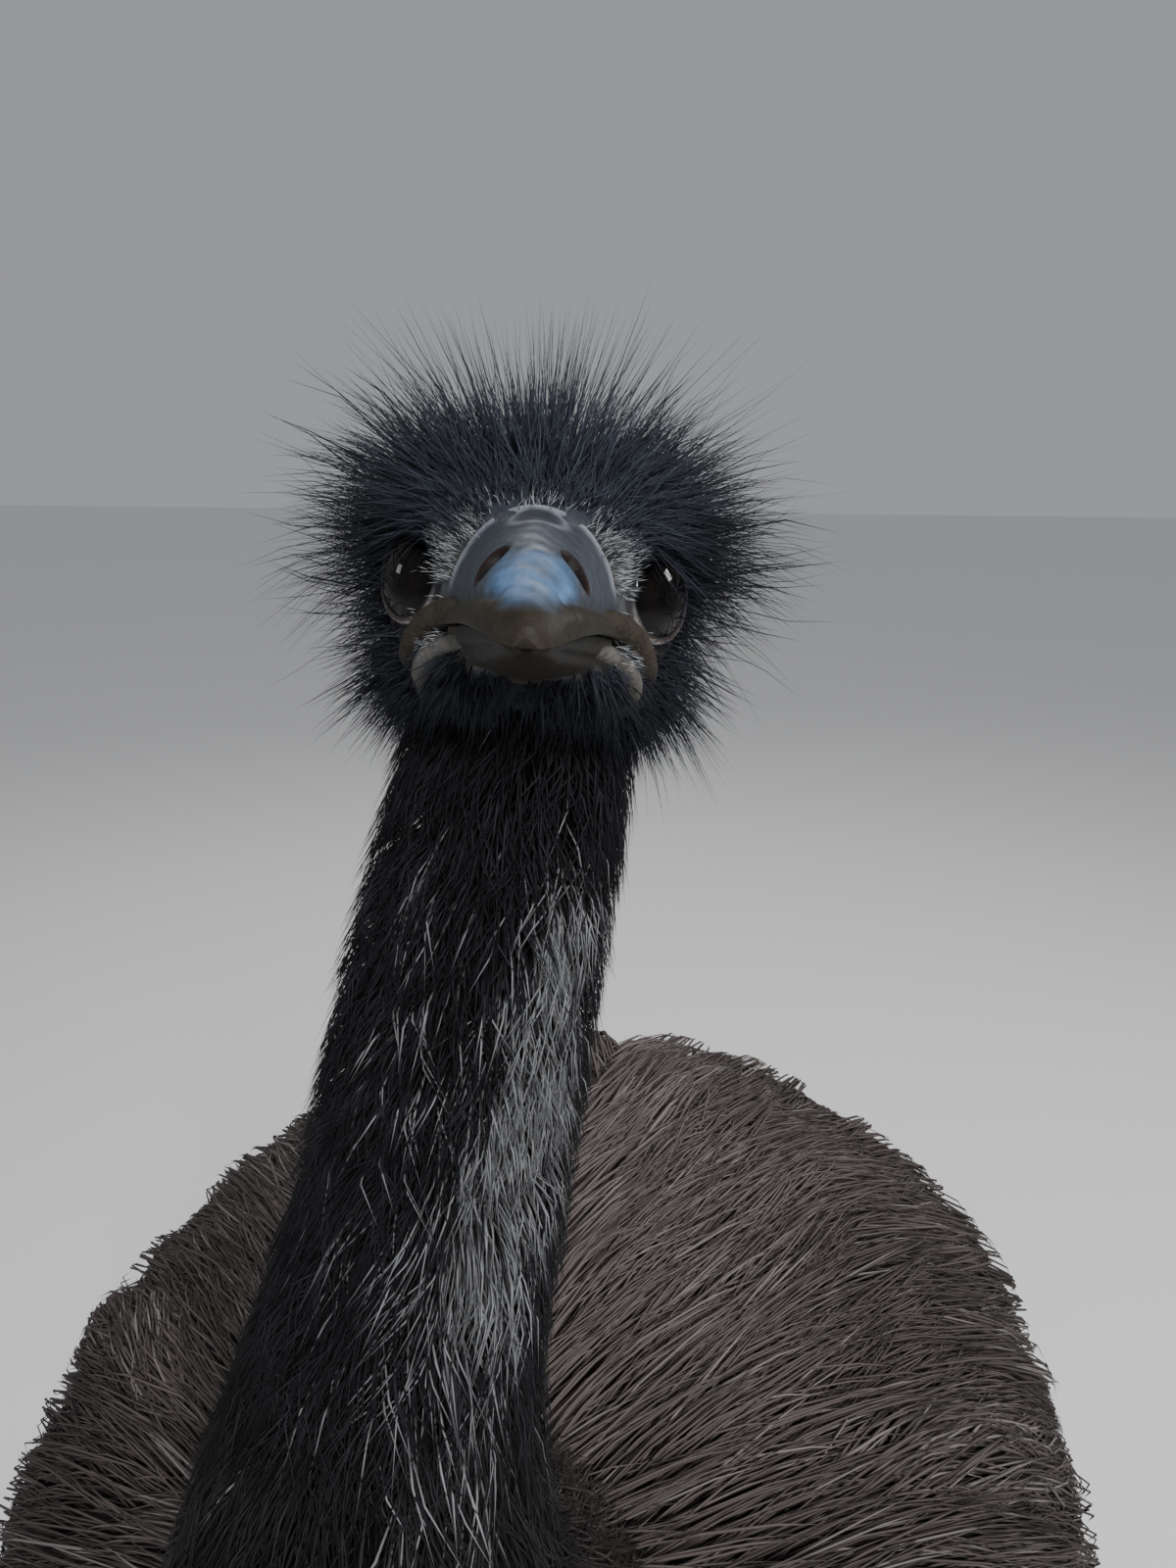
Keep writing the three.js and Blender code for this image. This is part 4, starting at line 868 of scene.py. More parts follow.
# Materials. Colours come from the tint that each piece carries.
def surface_material(name, roughness, specular, grain=0, depth=0, cells=False):
    material = bpy.data.materials.new(name)
    material.use_nodes = True
    nodes, links = material.node_tree.nodes, material.node_tree.links
    shader = nodes["Principled BSDF"]
    shader.inputs["Roughness"].default_value = roughness
    shader.inputs["Specular IOR Level"].default_value = specular
    tint = nodes.new("ShaderNodeAttribute")
    tint.attribute_name = "tint"
    links.new(tint.outputs["Color"], shader.inputs["Base Color"])
    if depth:
        place = nodes.new("ShaderNodeTexCoord")
        pattern = nodes.new("ShaderNodeTexVoronoi" if cells else "ShaderNodeTexNoise")
        pattern.inputs["Scale"].default_value = grain
        relief = nodes.new("ShaderNodeBump")
        relief.inputs["Strength"].default_value = 0.6
        relief.inputs["Distance"].default_value = depth
        links.new(place.outputs["Object"], pattern.inputs["Vector"])
        links.new(pattern.outputs["Distance" if cells else "Fac"], relief.inputs["Height"])
        links.new(relief.outputs["Normal"], shader.inputs["Normal"])
    return material


SKIN = surface_material("skin", roughness=0.8, specular=0.15, grain=800, depth=0.0014)
HORN = surface_material("bill_horn", roughness=0.58, specular=0.22, grain=700, depth=0.0003)
SCALES = surface_material("leg_scales", roughness=0.55, specular=0.5, grain=420, depth=0.0008, cells=True)
CLAW = surface_material("claw_horn", roughness=0.35, specular=0.5, grain=300, depth=0.0002)
EYE = surface_material("eye_gloss", roughness=0.03, specular=0.2)
PLUMAGE = surface_material("plumage", roughness=0.8, specular=0.12)


# Markings.
def mix(a, b, share):
    share = np.asarray(share)[..., None]
    return a * (1 - share) + b * share


def washed(colour, p, washes):
    """Colours over points of the head under washes, each limited to its places."""
    slope = p[:, 2] - BACK_SLOPE * np.maximum(p[:, 1], 0)
    places = {"x": np.abs(p[:, 0]), "y": p[:, 1], "z": p[:, 2], "slope": slope}
    colour = np.tile(colour, (len(p), 1))
    for tint, share, ranges in washes:
        for axis, (start, full) in ranges.items():
            share = share * smooth_step(start, full, places[axis])
        colour = mix(colour, tint, share)
    return colour


def neck_band(u, angle):
    """The share of grey-white plumes down the front of the neck, fuller on the bird's left: the band is the
    bird's own, its lean to the lit left side is painted light.
    """
    width = BAND_WIDTH + BAND_WIDER * smooth_step(0.8, 0.3, u)
    swing = BAND_SWING * smooth_step(0.45, 0.85, u)
    share = 0
    for middle, full in BAND_LINES:
        turn = np.abs((angle - middle - swing + math.pi) % (2 * math.pi) - math.pi)
        share = np.maximum(share, full * smooth_step(width * 1.3, width * 0.2, turn))
    return share * smooth_step(*BAND_TOP, u) * (1 - (1 - BAND_LOW_SHARE) * smooth_step(*BAND_BREAK, u))


def neck_colour(u, angle, tone, draw):
    """Colours at the root, middle and tip along the neck: black above, browner below, with the pale band."""
    base = mix(NECK_BLACK, DARK_BROWN, smooth_step(0.6, 0.25, u))
    base = mix(base, BROWN * 0.75, smooth_step(0.44, 0.24, u))
    base = base * (1 + 0.5 * tone)[..., None]
    pale = ((draw < BAND_DRAW * neck_band(u, angle)) | (draw > STRAY_DRAW))[..., None]
    light = mix(base, GREY_WHITE, 0.62 + 0.25 * tone)
    return base * 0.8, np.where(pale, mix(base, light, 0.75), base), np.where(pale, light, base)


def body_colour(p, tone, draw):
    """Colours at the root, middle and tip over the body: mauve brown with paler plumes and dark tips."""
    base = BROWN * (1 + 0.4 * tone)[..., None]
    # Lighter along the back and darker down the flanks: partly the back's paler, worn plumage, partly painted
    # light from above and painted shade on the flanks.
    base = base * (1 + 0.3 * smooth_step(0.80, 0.86, p[..., 2]))[..., None]
    base = mix(base, DARK_BROWN, 0.76 * smooth_step(0.87, 0.68, p[..., 2]))
    pale = (draw < PALE_SHARE)[..., None]
    middle = np.where(pale, mix(base, PALE_BROWN, 0.52), base)
    tip = np.where(pale, mix(base, PALE_BROWN, 0.36), base * 0.9)
    return base * 0.75, middle, tip


def skin_colour(p):
    """The skin under the coat: a dark form of the coat's own colours, painted light and shade included."""
    still = np.zeros(len(p))
    under_body = body_colour(p, still, still + 0.5)[0]
    near = np.array([np.argmin(np.linalg.norm(neck.table[:, :3] - q, axis=1)) for q in p[::SKIN_STEP]])
    near = np.repeat(near, SKIN_STEP)[: len(p)]
    rows = neck.table[near]
    away = p - rows[:, :3]
    across, above = (away * rows[:, 3:6]).sum(1), (away * rows[:, 6:9]).sum(1)
    u, angle = neck.grid[near], np.arctan2(above, across)
    under_neck = mix(neck_colour(u, angle, still, still + 0.9)[0], GREY_WHITE, 0.12 * neck_band(u, angle))
    on_neck = smooth_step(1.5, 1.1, np.linalg.norm(away, axis=1) / rows[:, 9]) * smooth_step(0.1, 0.25, u)
    return mix(under_body, under_neck, on_neck) * 0.85


def lip_colour(colour, p):
    """Brown lips with a paler, streaked lower one, darker at their rear ends, and painted shade in the
    crevice between them.
    """
    upper, lower = near_lip(p, UPPER_LIP), near_lip(p, LOWER_LIP)
    streaks = 0.6 + 0.4 * waves(p * np.array([1.0, 1.0, 3.0]), 0.004, 2.0)
    colour = mix(colour, LIP_PALE * 0.8, smooth_step(1.8, 1.1, lower) * streaks)
    colour = mix(colour, LIP_BROWN, smooth_step(1.9, 1.3, upper))
    rear = 0.7 * smooth_step(-0.016, -0.008, p[:, 1]) * smooth_step(1.6, 1.2, upper)
    colour = mix(colour, BLACK * 1.4, rear)
    # Painted shade in the crevice between the lips.
    crevice_shade = bump(upper - lower, 0.22) * smooth_step(1.7, 1.2, np.minimum(upper, lower))
    return mix(colour, BLACK * 0.5, crevice_shade * 0.9)


def lid_colour(colour, p, side):
    """Dark lids with a tan lower half and a pale lower rim, close to one side's eye, with painted shade, in
    black, in their crease and at their edge against the ball.
    """
    away = p - eye_place(side)
    degrees = degrees_off(unit(away), side)
    near = smooth_step(EYE_RADIUS + 0.0045, EYE_RADIUS + 0.002, np.linalg.norm(away, axis=1))
    low = smooth_step(-0.001, -0.009, away[:, 2])
    lid = smooth_step(LID_FLAT_DEG + 10, LID_FLAT_DEG, degrees)
    colour = mix(colour, mix(BLACK * 1.2, LID_TAN * 0.7, low), lid * near)
    # Painted shade in the lids' crease.
    colour = mix(colour, BLACK, bump(degrees - LID_FLAT_DEG, 2.0) * 0.8 * near)
    colour = mix(colour, GREY_WHITE * 0.8, bump(degrees - LID_OPENING_DEG - 5.0, 1.2) * low * 0.8 * near)
    # Painted shade where the lids' edge meets the ball.
    return mix(colour, BLACK * 0.6, smooth_step(LID_OPENING_DEG + 3, LID_OPENING_DEG, degrees) * near)


def head_colour(p):
    """Colour over the bare face: grey lores, slate blue behind the eye, black crown and chin, brown lips."""
    colour = lip_colour(washed(FACE_GREY * 0.6, p, FACE_WASHES), p)
    for side, _ in SIDES:
        colour = lid_colour(colour, p, side)
    return colour * (1 + layered(p, HEAD_BLOTCHES))[:, None]


# Thighs and wings.
def leg_points(side):
    """The hip, the bend of the calf, the hock and the foot of one leg."""
    forward = side * STRIDE
    hip = np.array([side * LEG_TOP[0], LEG_TOP[1], LEG_TOP[2]])
    hock = np.array([side * (FOOT_SPREAD - HOCK_INSET), HOCK_Y - forward * HOCK_STRIDE, HOCK_HEIGHT])
    foot = np.array([side * FOOT_SPREAD, FOOT_Y - forward, 0.0])
    calf = hip + (hock - hip) * CALF_SHARE + np.array([side * CALF_OFFSET[0], CALF_OFFSET[1], 0.0])
    return hip, calf, hock, foot


def thigh_tube(side):
    hip, calf, hock, _ = leg_points(side)
    thinning = np.clip((np.linspace(0, 1, TUBE_ROWS) - COAT_THINS_FROM) / COAT_THINS_OVER, 0, 1)
    return tube_along([hip, calf, hock], THIGH_RADII, THIGH_COAT + (HOCK_COAT - THIGH_COAT) * thinning)


def wing_tube(side):
    line = []
    for y, down, rise in WING_LINE:
        around = math.radians(down)
        out = np.array([side * math.sin(around), 0, math.cos(around)])
        root = over_body(body_axis(np.array(y)) + 0.5 * out)
        line.append(over_body(root, np.array(rise)))
    return tube_along(line, WING_RADII)


thighs = {name: thigh_tube(side) for side, name in SIDES}
wings = {name: wing_tube(side) for side, name in SIDES}


def trunk_surfaces():
    """The forms of body, neck, thighs and wings under the coat, with the body's rear end drawn in."""
    points, faces = body.surface(BODY_MESH, -SKIN_INSET)
    points[:, 1] -= REAR_INSET * smooth_step(REAR_START, BODY_REAR, points[:, 1])
    surfaces = [(points, faces), neck.surface(NECK_MESH, -SKIN_INSET)]
    for _, name in SIDES:
        surfaces.append(thighs[name].surface(THIGH_MESH, -SKIN_INSET))
        surfaces.append(wings[name].surface(WING_MESH, -SKIN_INSET))
    return surfaces


def build_skin():
    trunk_points, trunk_quads = remeshed(trunk_surfaces(), TRUNK_VOXEL, TRUNK_RELAX)
    face = [head_surface(), *lip_surfaces()] + [lid_shell(side) for side, _ in SIDES]
    face_points, face_quads = remeshed(face, FACE_VOXEL, FACE_RELAX)
    points = np.vstack([trunk_points, head_to_bird(face_points)]) + SHIFT
    skin = mesh_object("skin", points, np.vstack([trunk_quads, face_quads + len(trunk_points)]))
    paint(skin, np.vstack([skin_colour(trunk_points), head_colour(face_points)]))
    flesh = ["head", "neck_upper", "neck_middle", "neck_base", "torso", "tail", "ear_left", "ear_right"]
    flesh += [f"{part}_{name}" for part in ("wing", "thigh") for _, name in SIDES]
    seat(skin, SKIN, "face_skin", *flesh)


# The bill.
def bill_surface(outline, away, detail):
    """One horn of the bill, with its detail, and its points without it."""
    rings, sides = BILL_MESH
    first, last = outline[0][0] + BILL_ROOT_GAP, outline[-1][0]
    y = first + (last - first) * np.linspace(0, 1, rings) ** 0.85
    edge, mouth, half = (row[:, None] for row in rows_at(outline, y))
    y, seam = y[:, None], mouth + away * BILL_SEAM
    angle = np.linspace(0, math.pi, sides)
    rise = (edge - seam) * np.sin(angle) ** BILL_ARCH
    plain = np.stack([half * np.cos(angle), y + 0 * angle, seam + rise], axis=-1)
    out = unit(plain - np.stack([0 * y, y, seam], -1))
    arch = plain + out * detail(plain)[..., None]
    under = np.linspace(-0.9, 0.9, PALATE_POINTS)
    palate = np.stack([half * under, y + 0 * under, seam + 0 * under], axis=-1)
    points, faces = closed_rings(np.concatenate([arch, palate], axis=1))
    smooth, _ = closed_rings(np.concatenate([plain, palate], axis=1))
    return points, faces, smooth


def near_nostril(p):
    """Places relative to the nostrils, turned along their slant: across, along, and the oval's measure."""
    x, y = np.abs(p[..., 0]) - NOSTRIL_SIDE, p[..., 1] - NOSTRIL_Y
    turn = math.radians(NOSTRIL_TURN_DEG)
    across, along = x * math.cos(turn) + y * math.sin(turn), -x * math.sin(turn) + y * math.cos(turn)
    return across, along, np.hypot(across / NOSTRIL_WIDE, along / NOSTRIL_LONG)


def upper_detail(p):
    """Nostrils with a rim and a groove behind, border, keel, nail, cutting edge and grain."""
    across, along, oval = near_nostril(p)
    behind = smooth_step(-0.0035, -0.006, along) * smooth_step(-0.017, -0.011, along)
    nostril = ridge(oval, NOSTRIL_RIM) - NOSTRIL_DEPTH * smooth_step(1.0, 0.45, oval)
    nostril = (nostril + ridge(across, NOSTRIL_GROOVE) * behind) * smooth_step(-0.009, -0.004, p[..., 2])
    keel = ridge(p[..., 0], UPPER_KEEL) * smooth_step(-0.03, -0.045, p[..., 1])
    nail = ridge(p[..., 1], UPPER_NAIL) * smooth_step(-0.016, -0.011, p[..., 2])
    edge = ridge(p[..., 2], UPPER_EDGE) + ridge(p[..., 2], UPPER_STEP)
    edge = edge * smooth_step(0.004, 0.009, np.abs(p[..., 0]))
    return nostril + ridge(p[..., 1], UPPER_CERE) + keel + nail + edge + layered(p, UPPER_GRAIN)


def lower_detail(p):
    groove = ridge(p[..., 2], LOWER_GROOVE) * smooth_step(0.004, 0.008, np.abs(p[..., 0]))
    return ridge(p[..., 1], LOWER_CERE) + groove + layered(p, LOWER_GRAIN)


def upper_colour(p):
    """A grey horn with a painted blue highlight on its tip, a brown cutting edge, pale marks along its top
    and dark nostrils with painted shade deep inside.
    """
    x, y, z = np.abs(p[:, 0]), p[:, 1], p[:, 2]
    high = smooth_step(-0.012, -0.006, z)
    # Painted highlight: the top of the tip turns blue.
    tip = smooth_step(-0.055, -0.066, y) * smooth_step(0.011, 0.006, x) * high
    colour = mix(np.tile(SHEATH, (len(p), 1)), SHEATH_TIP_HIGHLIGHT, tip * (0.65 + 0.35 * waves(p, 0.004)))
    edge = smooth_step(-0.0065, -0.0095, z) * smooth_step(0.003, 0.007, x)
    colour = mix(colour, SHEATH_EDGE, np.maximum(edge, smooth_step(-0.0095, -0.0125, z)))
    border = 0.8 * bump(y - CERE_Y, 0.0013) * smooth_step(-0.006, 0.0, z)
    column = bump(x, 0.0036) * smooth_step(-0.043, -0.049, y) * high * (0.25 + 0.3 * waves(p, 0.0022))
    patch = np.hypot(x, y + 0.037)
    for share in (border, column, 0.4 * bump(patch - 0.0062, 0.0010) * high):
        colour = mix(colour, SHEATH_BORDER, share)
    colour = mix(colour, BLACK, 0.7 * bump(patch, 0.0045))
    oval = near_nostril(p)[2]
    colour = mix(colour, HOLE_RED, smooth_step(1.15, 1.0, oval) * high)
    # Painted shade deep inside the nostrils.
    colour = mix(colour, HOLE_RED * 0.08, smooth_step(1.0, 0.85, oval) * high)
    return colour * (1 + layered(p, UPPER_BLOTCHES))[:, None]


def lower_colour(p):
    return washed(SHEATH_LOWER, p, LOWER_WASHES) * (1 + layered(p, LOWER_BLOTCHES))[:, None]


def build_bill():
    for name, outline, away, detail, tint in (
        ("upper_bill", UPPER_BILL, 1, upper_detail, upper_colour),
        ("lower_bill", LOWER_BILL, -1, lower_detail, lower_colour),
    ):
        points, faces, smooth = bill_surface(outline, away, detail)
        obj = mesh_object(f"{name}_horn", head_to_bird(points) + SHIFT, faces)
        paint(obj, tint(smooth))
        seat(obj, HORN, "bill", name)


def build_eyes():
    """Dark balls, each with a black pupil and a deep brown iris."""
    rings, sides = EYE_MESH
    degrees, around = round_grid(np.linspace(1, 179, rings), sides)
    for side, name in SIDES:
        out = eye_directions(side, degrees, around)
        points, faces = closed_rings(eye_place(side) + out * EYE_RADIUS)
        away = degrees_off(unit(points - eye_place(side)), side)
        colour = mix(PUPIL_BLACK, IRIS_BROWN, smooth_step(*PUPIL_DEG, away) * (1 - 0.3 * bump(away - 26, 3)))
        colour = mix(colour, PUPIL_BLACK, smooth_step(*IRIS_DEG, away))
        obj = mesh_object(f"eyeball_{name}", head_to_bird(points) + SHIFT, faces)
        paint(obj, colour)
        seat(obj, EYE, "eye", f"eye_{name}")


# The legs: a scuted shank and toes over flat soles, and the claws.
def limb_surface(line, radii_at, mesh, raise_at, power=TUBE_POWER):
    """The closed surface of a limb from functions of the place along it, raised by its scales."""
    rings, sides = mesh
    u = np.linspace(0, 1, rings)
    centre = line(u[:, None])
    tube = Tube(centre, unit(np.gradient(centre, axis=0)), *radii_at(u), power)
    u, angle = round_grid(u, sides)
    return closed_rings(tube.point(u, angle, raise_at(u, angle)))


def scutes(u, angle, count, rise):
    """Overlapping plates over the front of a limb: each rises towards its lower edge."""
    turn = np.abs((angle + math.pi / 2) % (2 * math.pi) - math.pi)
    step = (u * count) % 1
    plate = smooth_step(0.0, 0.75, step) * smooth_step(1.0, 0.9, step)
    return rise * plate * smooth_step(1.45, 1.1, turn)


def scales(u, angle, rise, around, along):
    """Small scales all round a limb."""
    return rise * np.sin(angle * around) * np.sin(u * along)


def radii_from(rows):
    def radii(u):
        wide, deep = rows_at(rows, u)
        return wide, deep, deep

    return radii


def straight(a, b):
    return lambda u: a + (b - a) * u


def rise_by(height):
    return np.array([0, 0, height])


def shank_surface(hock, foot):
    ankle = foot + rise_by(ANKLE_HEIGHT)
    line = straight(hock + unit(hock - ankle) * SHANK_LAP, ankle - rise_by(SHANK_LAP))

    def raised(u, angle):
        plates = scutes(u, angle, SHANK_SCUTES, SHANK_SCUTE_RISE)
        return plates + scales(u, angle, *SHANK_SCALES) - SHANK_INSET

    return limb_surface(line, radii_from(SHANK_RADII), SHANK_MESH, raised)


def pad_surface(foot):
    line = straight(foot + rise_by(ANKLE_HEIGHT + PAD_LAP), foot)

    def raised(u, angle):
        return scales(u, angle, *PAD_SCALES) - PAD_INSET

    return limb_surface(line, radii_from(PAD_RADII), PAD_MESH, raised, PAD_POWER)


def toe_surface(foot, heading, end, length, width):
    """A toe that runs down to the knuckle and then along the floor, with three joints and scutes."""
    start = foot + heading * 0.004 + rise_by(width * 1.1)
    knuckle = foot + heading * TOE_START + rise_by(width)
    tip = foot + heading * (end + 0.001) + rise_by(width * TOE_TAPER)
    root, rest = straight(start, knuckle), straight(knuckle, tip)

    def line(u):
        return np.where(u < TOE_BEND, root(u / TOE_BEND), rest((u - TOE_BEND) / (1 - TOE_BEND)))

    def radii(u):
        reach = width * (TOE_ROOT + (TOE_TAPER - TOE_ROOT) * u)
        reach = reach * (1 + TOE_KNUCKLE * np.sin(u * math.pi * 4) ** 2)
        return reach, reach * TOE_FLANK, reach * TOE_SOLE

    def raised(u, angle):
        return scutes(u, angle, round(length / TOE_SCUTE), TOE_SCUTE_RISE) - TOE_INSET

    return limb_surface(line, radii, TOE_MESH, raised, TOE_POWER)


def claw_surface(foot, heading, end, claw_length, width):
    """A claw on a quadratic curve from the toe's tip down to the floor."""
    base = foot + heading * (end - 0.003) + rise_by(width * TOE_TAPER)
    point = foot + heading * (end + claw_length) + rise_by(0.0014)
    bend = base + (point - base) * 0.55 + rise_by(width * CLAW_ARCH)

    def radii(u):
        reach = width * CLAW_WIDTH * (1 - u) ** 0.8 + CLAW_TIP
        return reach, reach, reach * 0.9

    def line(u):
        return base * (1 - u) ** 2 + bend * 2 * u * (1 - u) + point * u**2

    return limb_surface(line, radii, CLAW_MESH, lambda u, angle: 0 * u)


def on_floor(points):
    return np.column_stack([points[:, :2], np.maximum(points[:, 2], 0.0)])


def build_legs():
    for side, name in SIDES:
        _, _, hock, foot = leg_points(side)
        surfaces, claws = [shank_surface(hock, foot), pad_surface(foot)], {}
        for toe, length, spread, width in TOES:
            turn = math.radians(spread) * side
            heading = np.array([math.sin(turn), -math.cos(turn), 0.0])
            claw_length = length * CLAW_SHARE
            end = TOE_START + length - claw_length
            surfaces.append(toe_surface(foot, heading, end, length, width))
            claws[toe] = claw_surface(foot, heading, end, claw_length, width)
        points, quads = remeshed(surfaces, LEG_VOXEL, LEG_RELAX)
        points = on_floor(points)
        leg = mesh_object(f"leg_{name}", points + SHIFT, quads)
        paint(leg, LEG_GREY * (0.75 + layered(points, LEG_BLOTCHES))[:, None])
        nodes = [f"shank_{name}", f"foot_{name}"] + [f"toe_{toe}_{name}" for toe in claws]
        seat(leg, SCALES, "leg_scales", *nodes)
        for toe, (points, faces) in claws.items():
            claw = mesh_object(f"claw_{toe}_{name}_horn", on_floor(points) + SHIFT, faces)
            paint(claw, np.tile(CLAW_BLACK, (len(points), 1)))
            seat(claw, CLAW, "claw", f"claw_{toe}_{name}")


# The coat's strands. On its map each strand is a small patch at its root's place on an unwrap of the skin,
# where each part has a strip from left and low to right and high.
PATCH = 0.003
UNWRAP = {
    "body": (0.0, 0.0, 0.6, 0.6),
    "neck": (0.62, 0.0, 0.98, 0.5),
    "head": (0.62, 0.52, 0.98, 0.98),
    "thigh_left": (0.0, 0.62, 0.15, 0.98),
    "thigh_right": (0.16, 0.62, 0.31, 0.98),
    "wing_left": (0.32, 0.62, 0.45, 0.98),
    "wing_right": (0.46, 0.62, 0.6, 0.98),
}


def unwrapped(part, u, angle):
    """Places of roots on the skin's unwrap, where each part is a strip cut along its underside."""
    left, low, right, high = UNWRAP[part]
    turn = (angle / (2 * math.pi) + 0.25) % 1
    return np.column_stack([left + (right - left - PATCH) * turn, low + (high - low - PATCH) * u])


def strand_faces(rings):
    faces = []
    for ring in range(rings - 1):
        for k in range(3):
            a, b = ring * 3 + k, ring * 3 + (k + 1) % 3
            faces += [(a, b, b + 3), (a, b + 3, a + 3)]
    last = 3 * rings
    for k in range(3):
        faces.append((last - 3 + k, last - 3 + (k + 1) % 3, last))
    faces.append((2, 1, 0))
    return np.array(faces)[:, ::-1]


def strand_points(path, out, width):
    """The corners of strands along paths[n, k, 3]: three at each ring, and the tip."""
    rings = path.shape[1] - 1
    points = np.empty((len(path), 3 * rings + 1, 3))
    for k in range(rings):
        along = unit(path[:, k + 1] - path[:, max(k - 1, 0)])
        across = unit(np.cross(along, out))
        over = np.cross(across, along)
        half = (width / 2 * WIDTHS[rings][k])[:, None]
        points[:, 3 * k] = path[:, k] + across * half
        points[:, 3 * k + 1] = path[:, k] - across * half
        points[:, 3 * k + 2] = path[:, k] + over * half * STRAND_RIDGE
    points[:, -1] = path[:, -1]
    return points


def strand_tints(colours, rings):
    """The colour of each corner, from those at the root, the middle and the tip of each strand."""
    share = np.array([s for s in SHARES[rings][:-1] for _ in range(3)] + [1.0])[None, :, None]
    root, middle, tip = (colours[:, None, k] for k in range(3))
    lower, upper = np.clip(share * 2, 0, 1), np.clip(share * 2 - 1, 0, 1)
    return (root * (1 - lower) + middle * lower) * (1 - upper) + tip * upper


def build_strands(name, slot, path, out, width, colours, home):
    """One piece of coat from paths[n, k, 3], the way out, widths, colours and places on the unwrap."""
    low, high = np.array(cad_box[0]) - SHIFT + BOX_MARGIN, np.array(cad_box[1]) - SHIFT - BOX_MARGIN
    keep = ((path > low) & (path < high)).all((1, 2))
    path, home = path[keep], home[keep]
    rings = path.shape[1] - 1
    points = strand_points(path, out[keep], width[keep])
    count, corners = points.shape[:2]
    faces = (np.arange(count)[:, None, None] * corners + strand_faces(rings)).reshape(-1, 3)
    obj = mesh_object(name, points.reshape(-1, 3) + SHIFT, faces)
    paint(obj, strand_tints(colours[keep], rings).reshape(-1, 3))
    corner = [(x * PATCH, k / rings * PATCH) for k in range(rings) for x in (0, 1, 0.5)]
    uv = (home[:, None] + np.array(corner + [(PATCH / 2, PATCH)])).reshape(-1, 2)
    layer = obj.data.uv_layers.new(name="OFBake")
    layer.data.foreach_set("uv", uv[faces.ravel()].astype(np.float32).ravel())
    seat(obj, PLUMAGE, slot)


def split(name, slot, count, keep, path, out, width, colours, home):
    """Cuts one coat into pieces of strands that lie side by side, each with its own name."""
    rows = np.nonzero(keep)[0]
    order = rows[np.argsort(home[rows, 1], kind="stable")]
    colours = np.stack(colours, axis=1)
    for k, part in enumerate(np.array_split(order, count)):
        label = f"{name}_{k + 1}" if count > 1 else name
        build_strands(label, slot, path[part], out[part], width[part], colours[part], home[part])


def clumps(tube, count, size, allowed=None):
    """Places of strands in clumps: each strand's place is its clump's, and which clump it is in."""
    u, angle = tube.scatter(count // size, allowed)
    which = np.repeat(np.arange(count // size), size)
    return u[which], angle[which], which


def clump_random(which):
    """One even random number for each clump, handed to its strands."""
    return rng.random(which.max() + 1)[which]


def clump_normal(which, spread, *columns):
    """One normal random number, or several in columns, for each clump, handed to its strands."""
    return rng.normal(0, spread, (which.max() + 1, *columns))[which]


def for_strands(which, least, clump, own):
    """A value for each strand: the least, and what its clump and the strand itself add at random."""
    return least + clump * clump_random(which) + own * rng.random(len(which))


# The body's coat.
def shoulder(p):
    return smooth_step(*SHOULDER_Y, p[..., 1]) * smooth_step(*SHOULDER_Z, p[..., 2])


def body_density(u, angle):
    """Feathers are finer and closer over the shoulders and the front of the back."""
    return PLAIN_DENSITY + SHOULDER_DENSER * shoulder(body.point(u, angle))


def body_lie(centre, out, which):
    """The lie of each feather, with a drift that its clump shares and a little of its own."""
    lie = lie_on_body(centre, out)
    drift = clump_normal(which, CLUMP_DRIFT) + layered(centre, DRIFT_WAVES)
    return unit(lie + np.cross(out, lie) * (drift + rng.normal(0, OWN_DRIFT, len(which)))[:, None])


def body_paths(u, centre, out, which):
    """The feathers' paths, arched over the core and hanging low on the flanks, and the way out of each."""
    lie = body_lie(centre, out, which)
    across, offset = np.cross(out, lie), rng.normal(0, BODY_SPREAD, (len(u), 2))
    root = centre + across * offset[:, :1] + lie * offset[:, 1:] * SPREAD_ALONG
    gather = SPREAD_TIP * across * offset[:, :1] + lie * offset[:, 1:]
    front = FRONT_SHARE + (1 - FRONT_SHARE) * smooth_step(0.0, FRONT_END, u)
    low, rear = smooth_step(*FLANK_Z, centre[:, 2]), smooth_step(*REAR_Y, centre[:, 1])
    length = for_strands(which, *FEATHER_LENGTH)
    length *= front * (1 + FLANK_LONGER * low + REAR_LONGER * rear)
    length *= 1 - TAIL_SHORTER * smooth_step(TAIL_START, BODY_REAR, centre[:, 1])
    loose = (clump_random(which) < LOOSE_SHARE) * LOOSE_LIFT
    lift = (FEATHER_LIFT + CLUMP_LIFT * clump_random(which) + loose) * front
    hang = (clump_random(which) < HANG_SHARE) * low * (HANG_LEAST + HANG_MORE * rng.random(len(u)))
    path = np.empty((len(u), 4, 3))
    for k, t in enumerate(STEPS[3]):
        target = (root * (1 - t) + (centre + gather) * t) + lie * (length * t)[:, None]
        rough = rng.normal(0, BODY_ROUGHNESS, len(u)) * t
        rise = -ROOT_DEPTH + (lift + ROOT_DEPTH) * np.sin(t * ARCH_TURN) + rough
        path[:, k] = over_body(target, rise)
        path[:, k, 2] -= hang * t * t
    return path, unit(path[:, 1] - body_axis(path[:, 1, 1]))


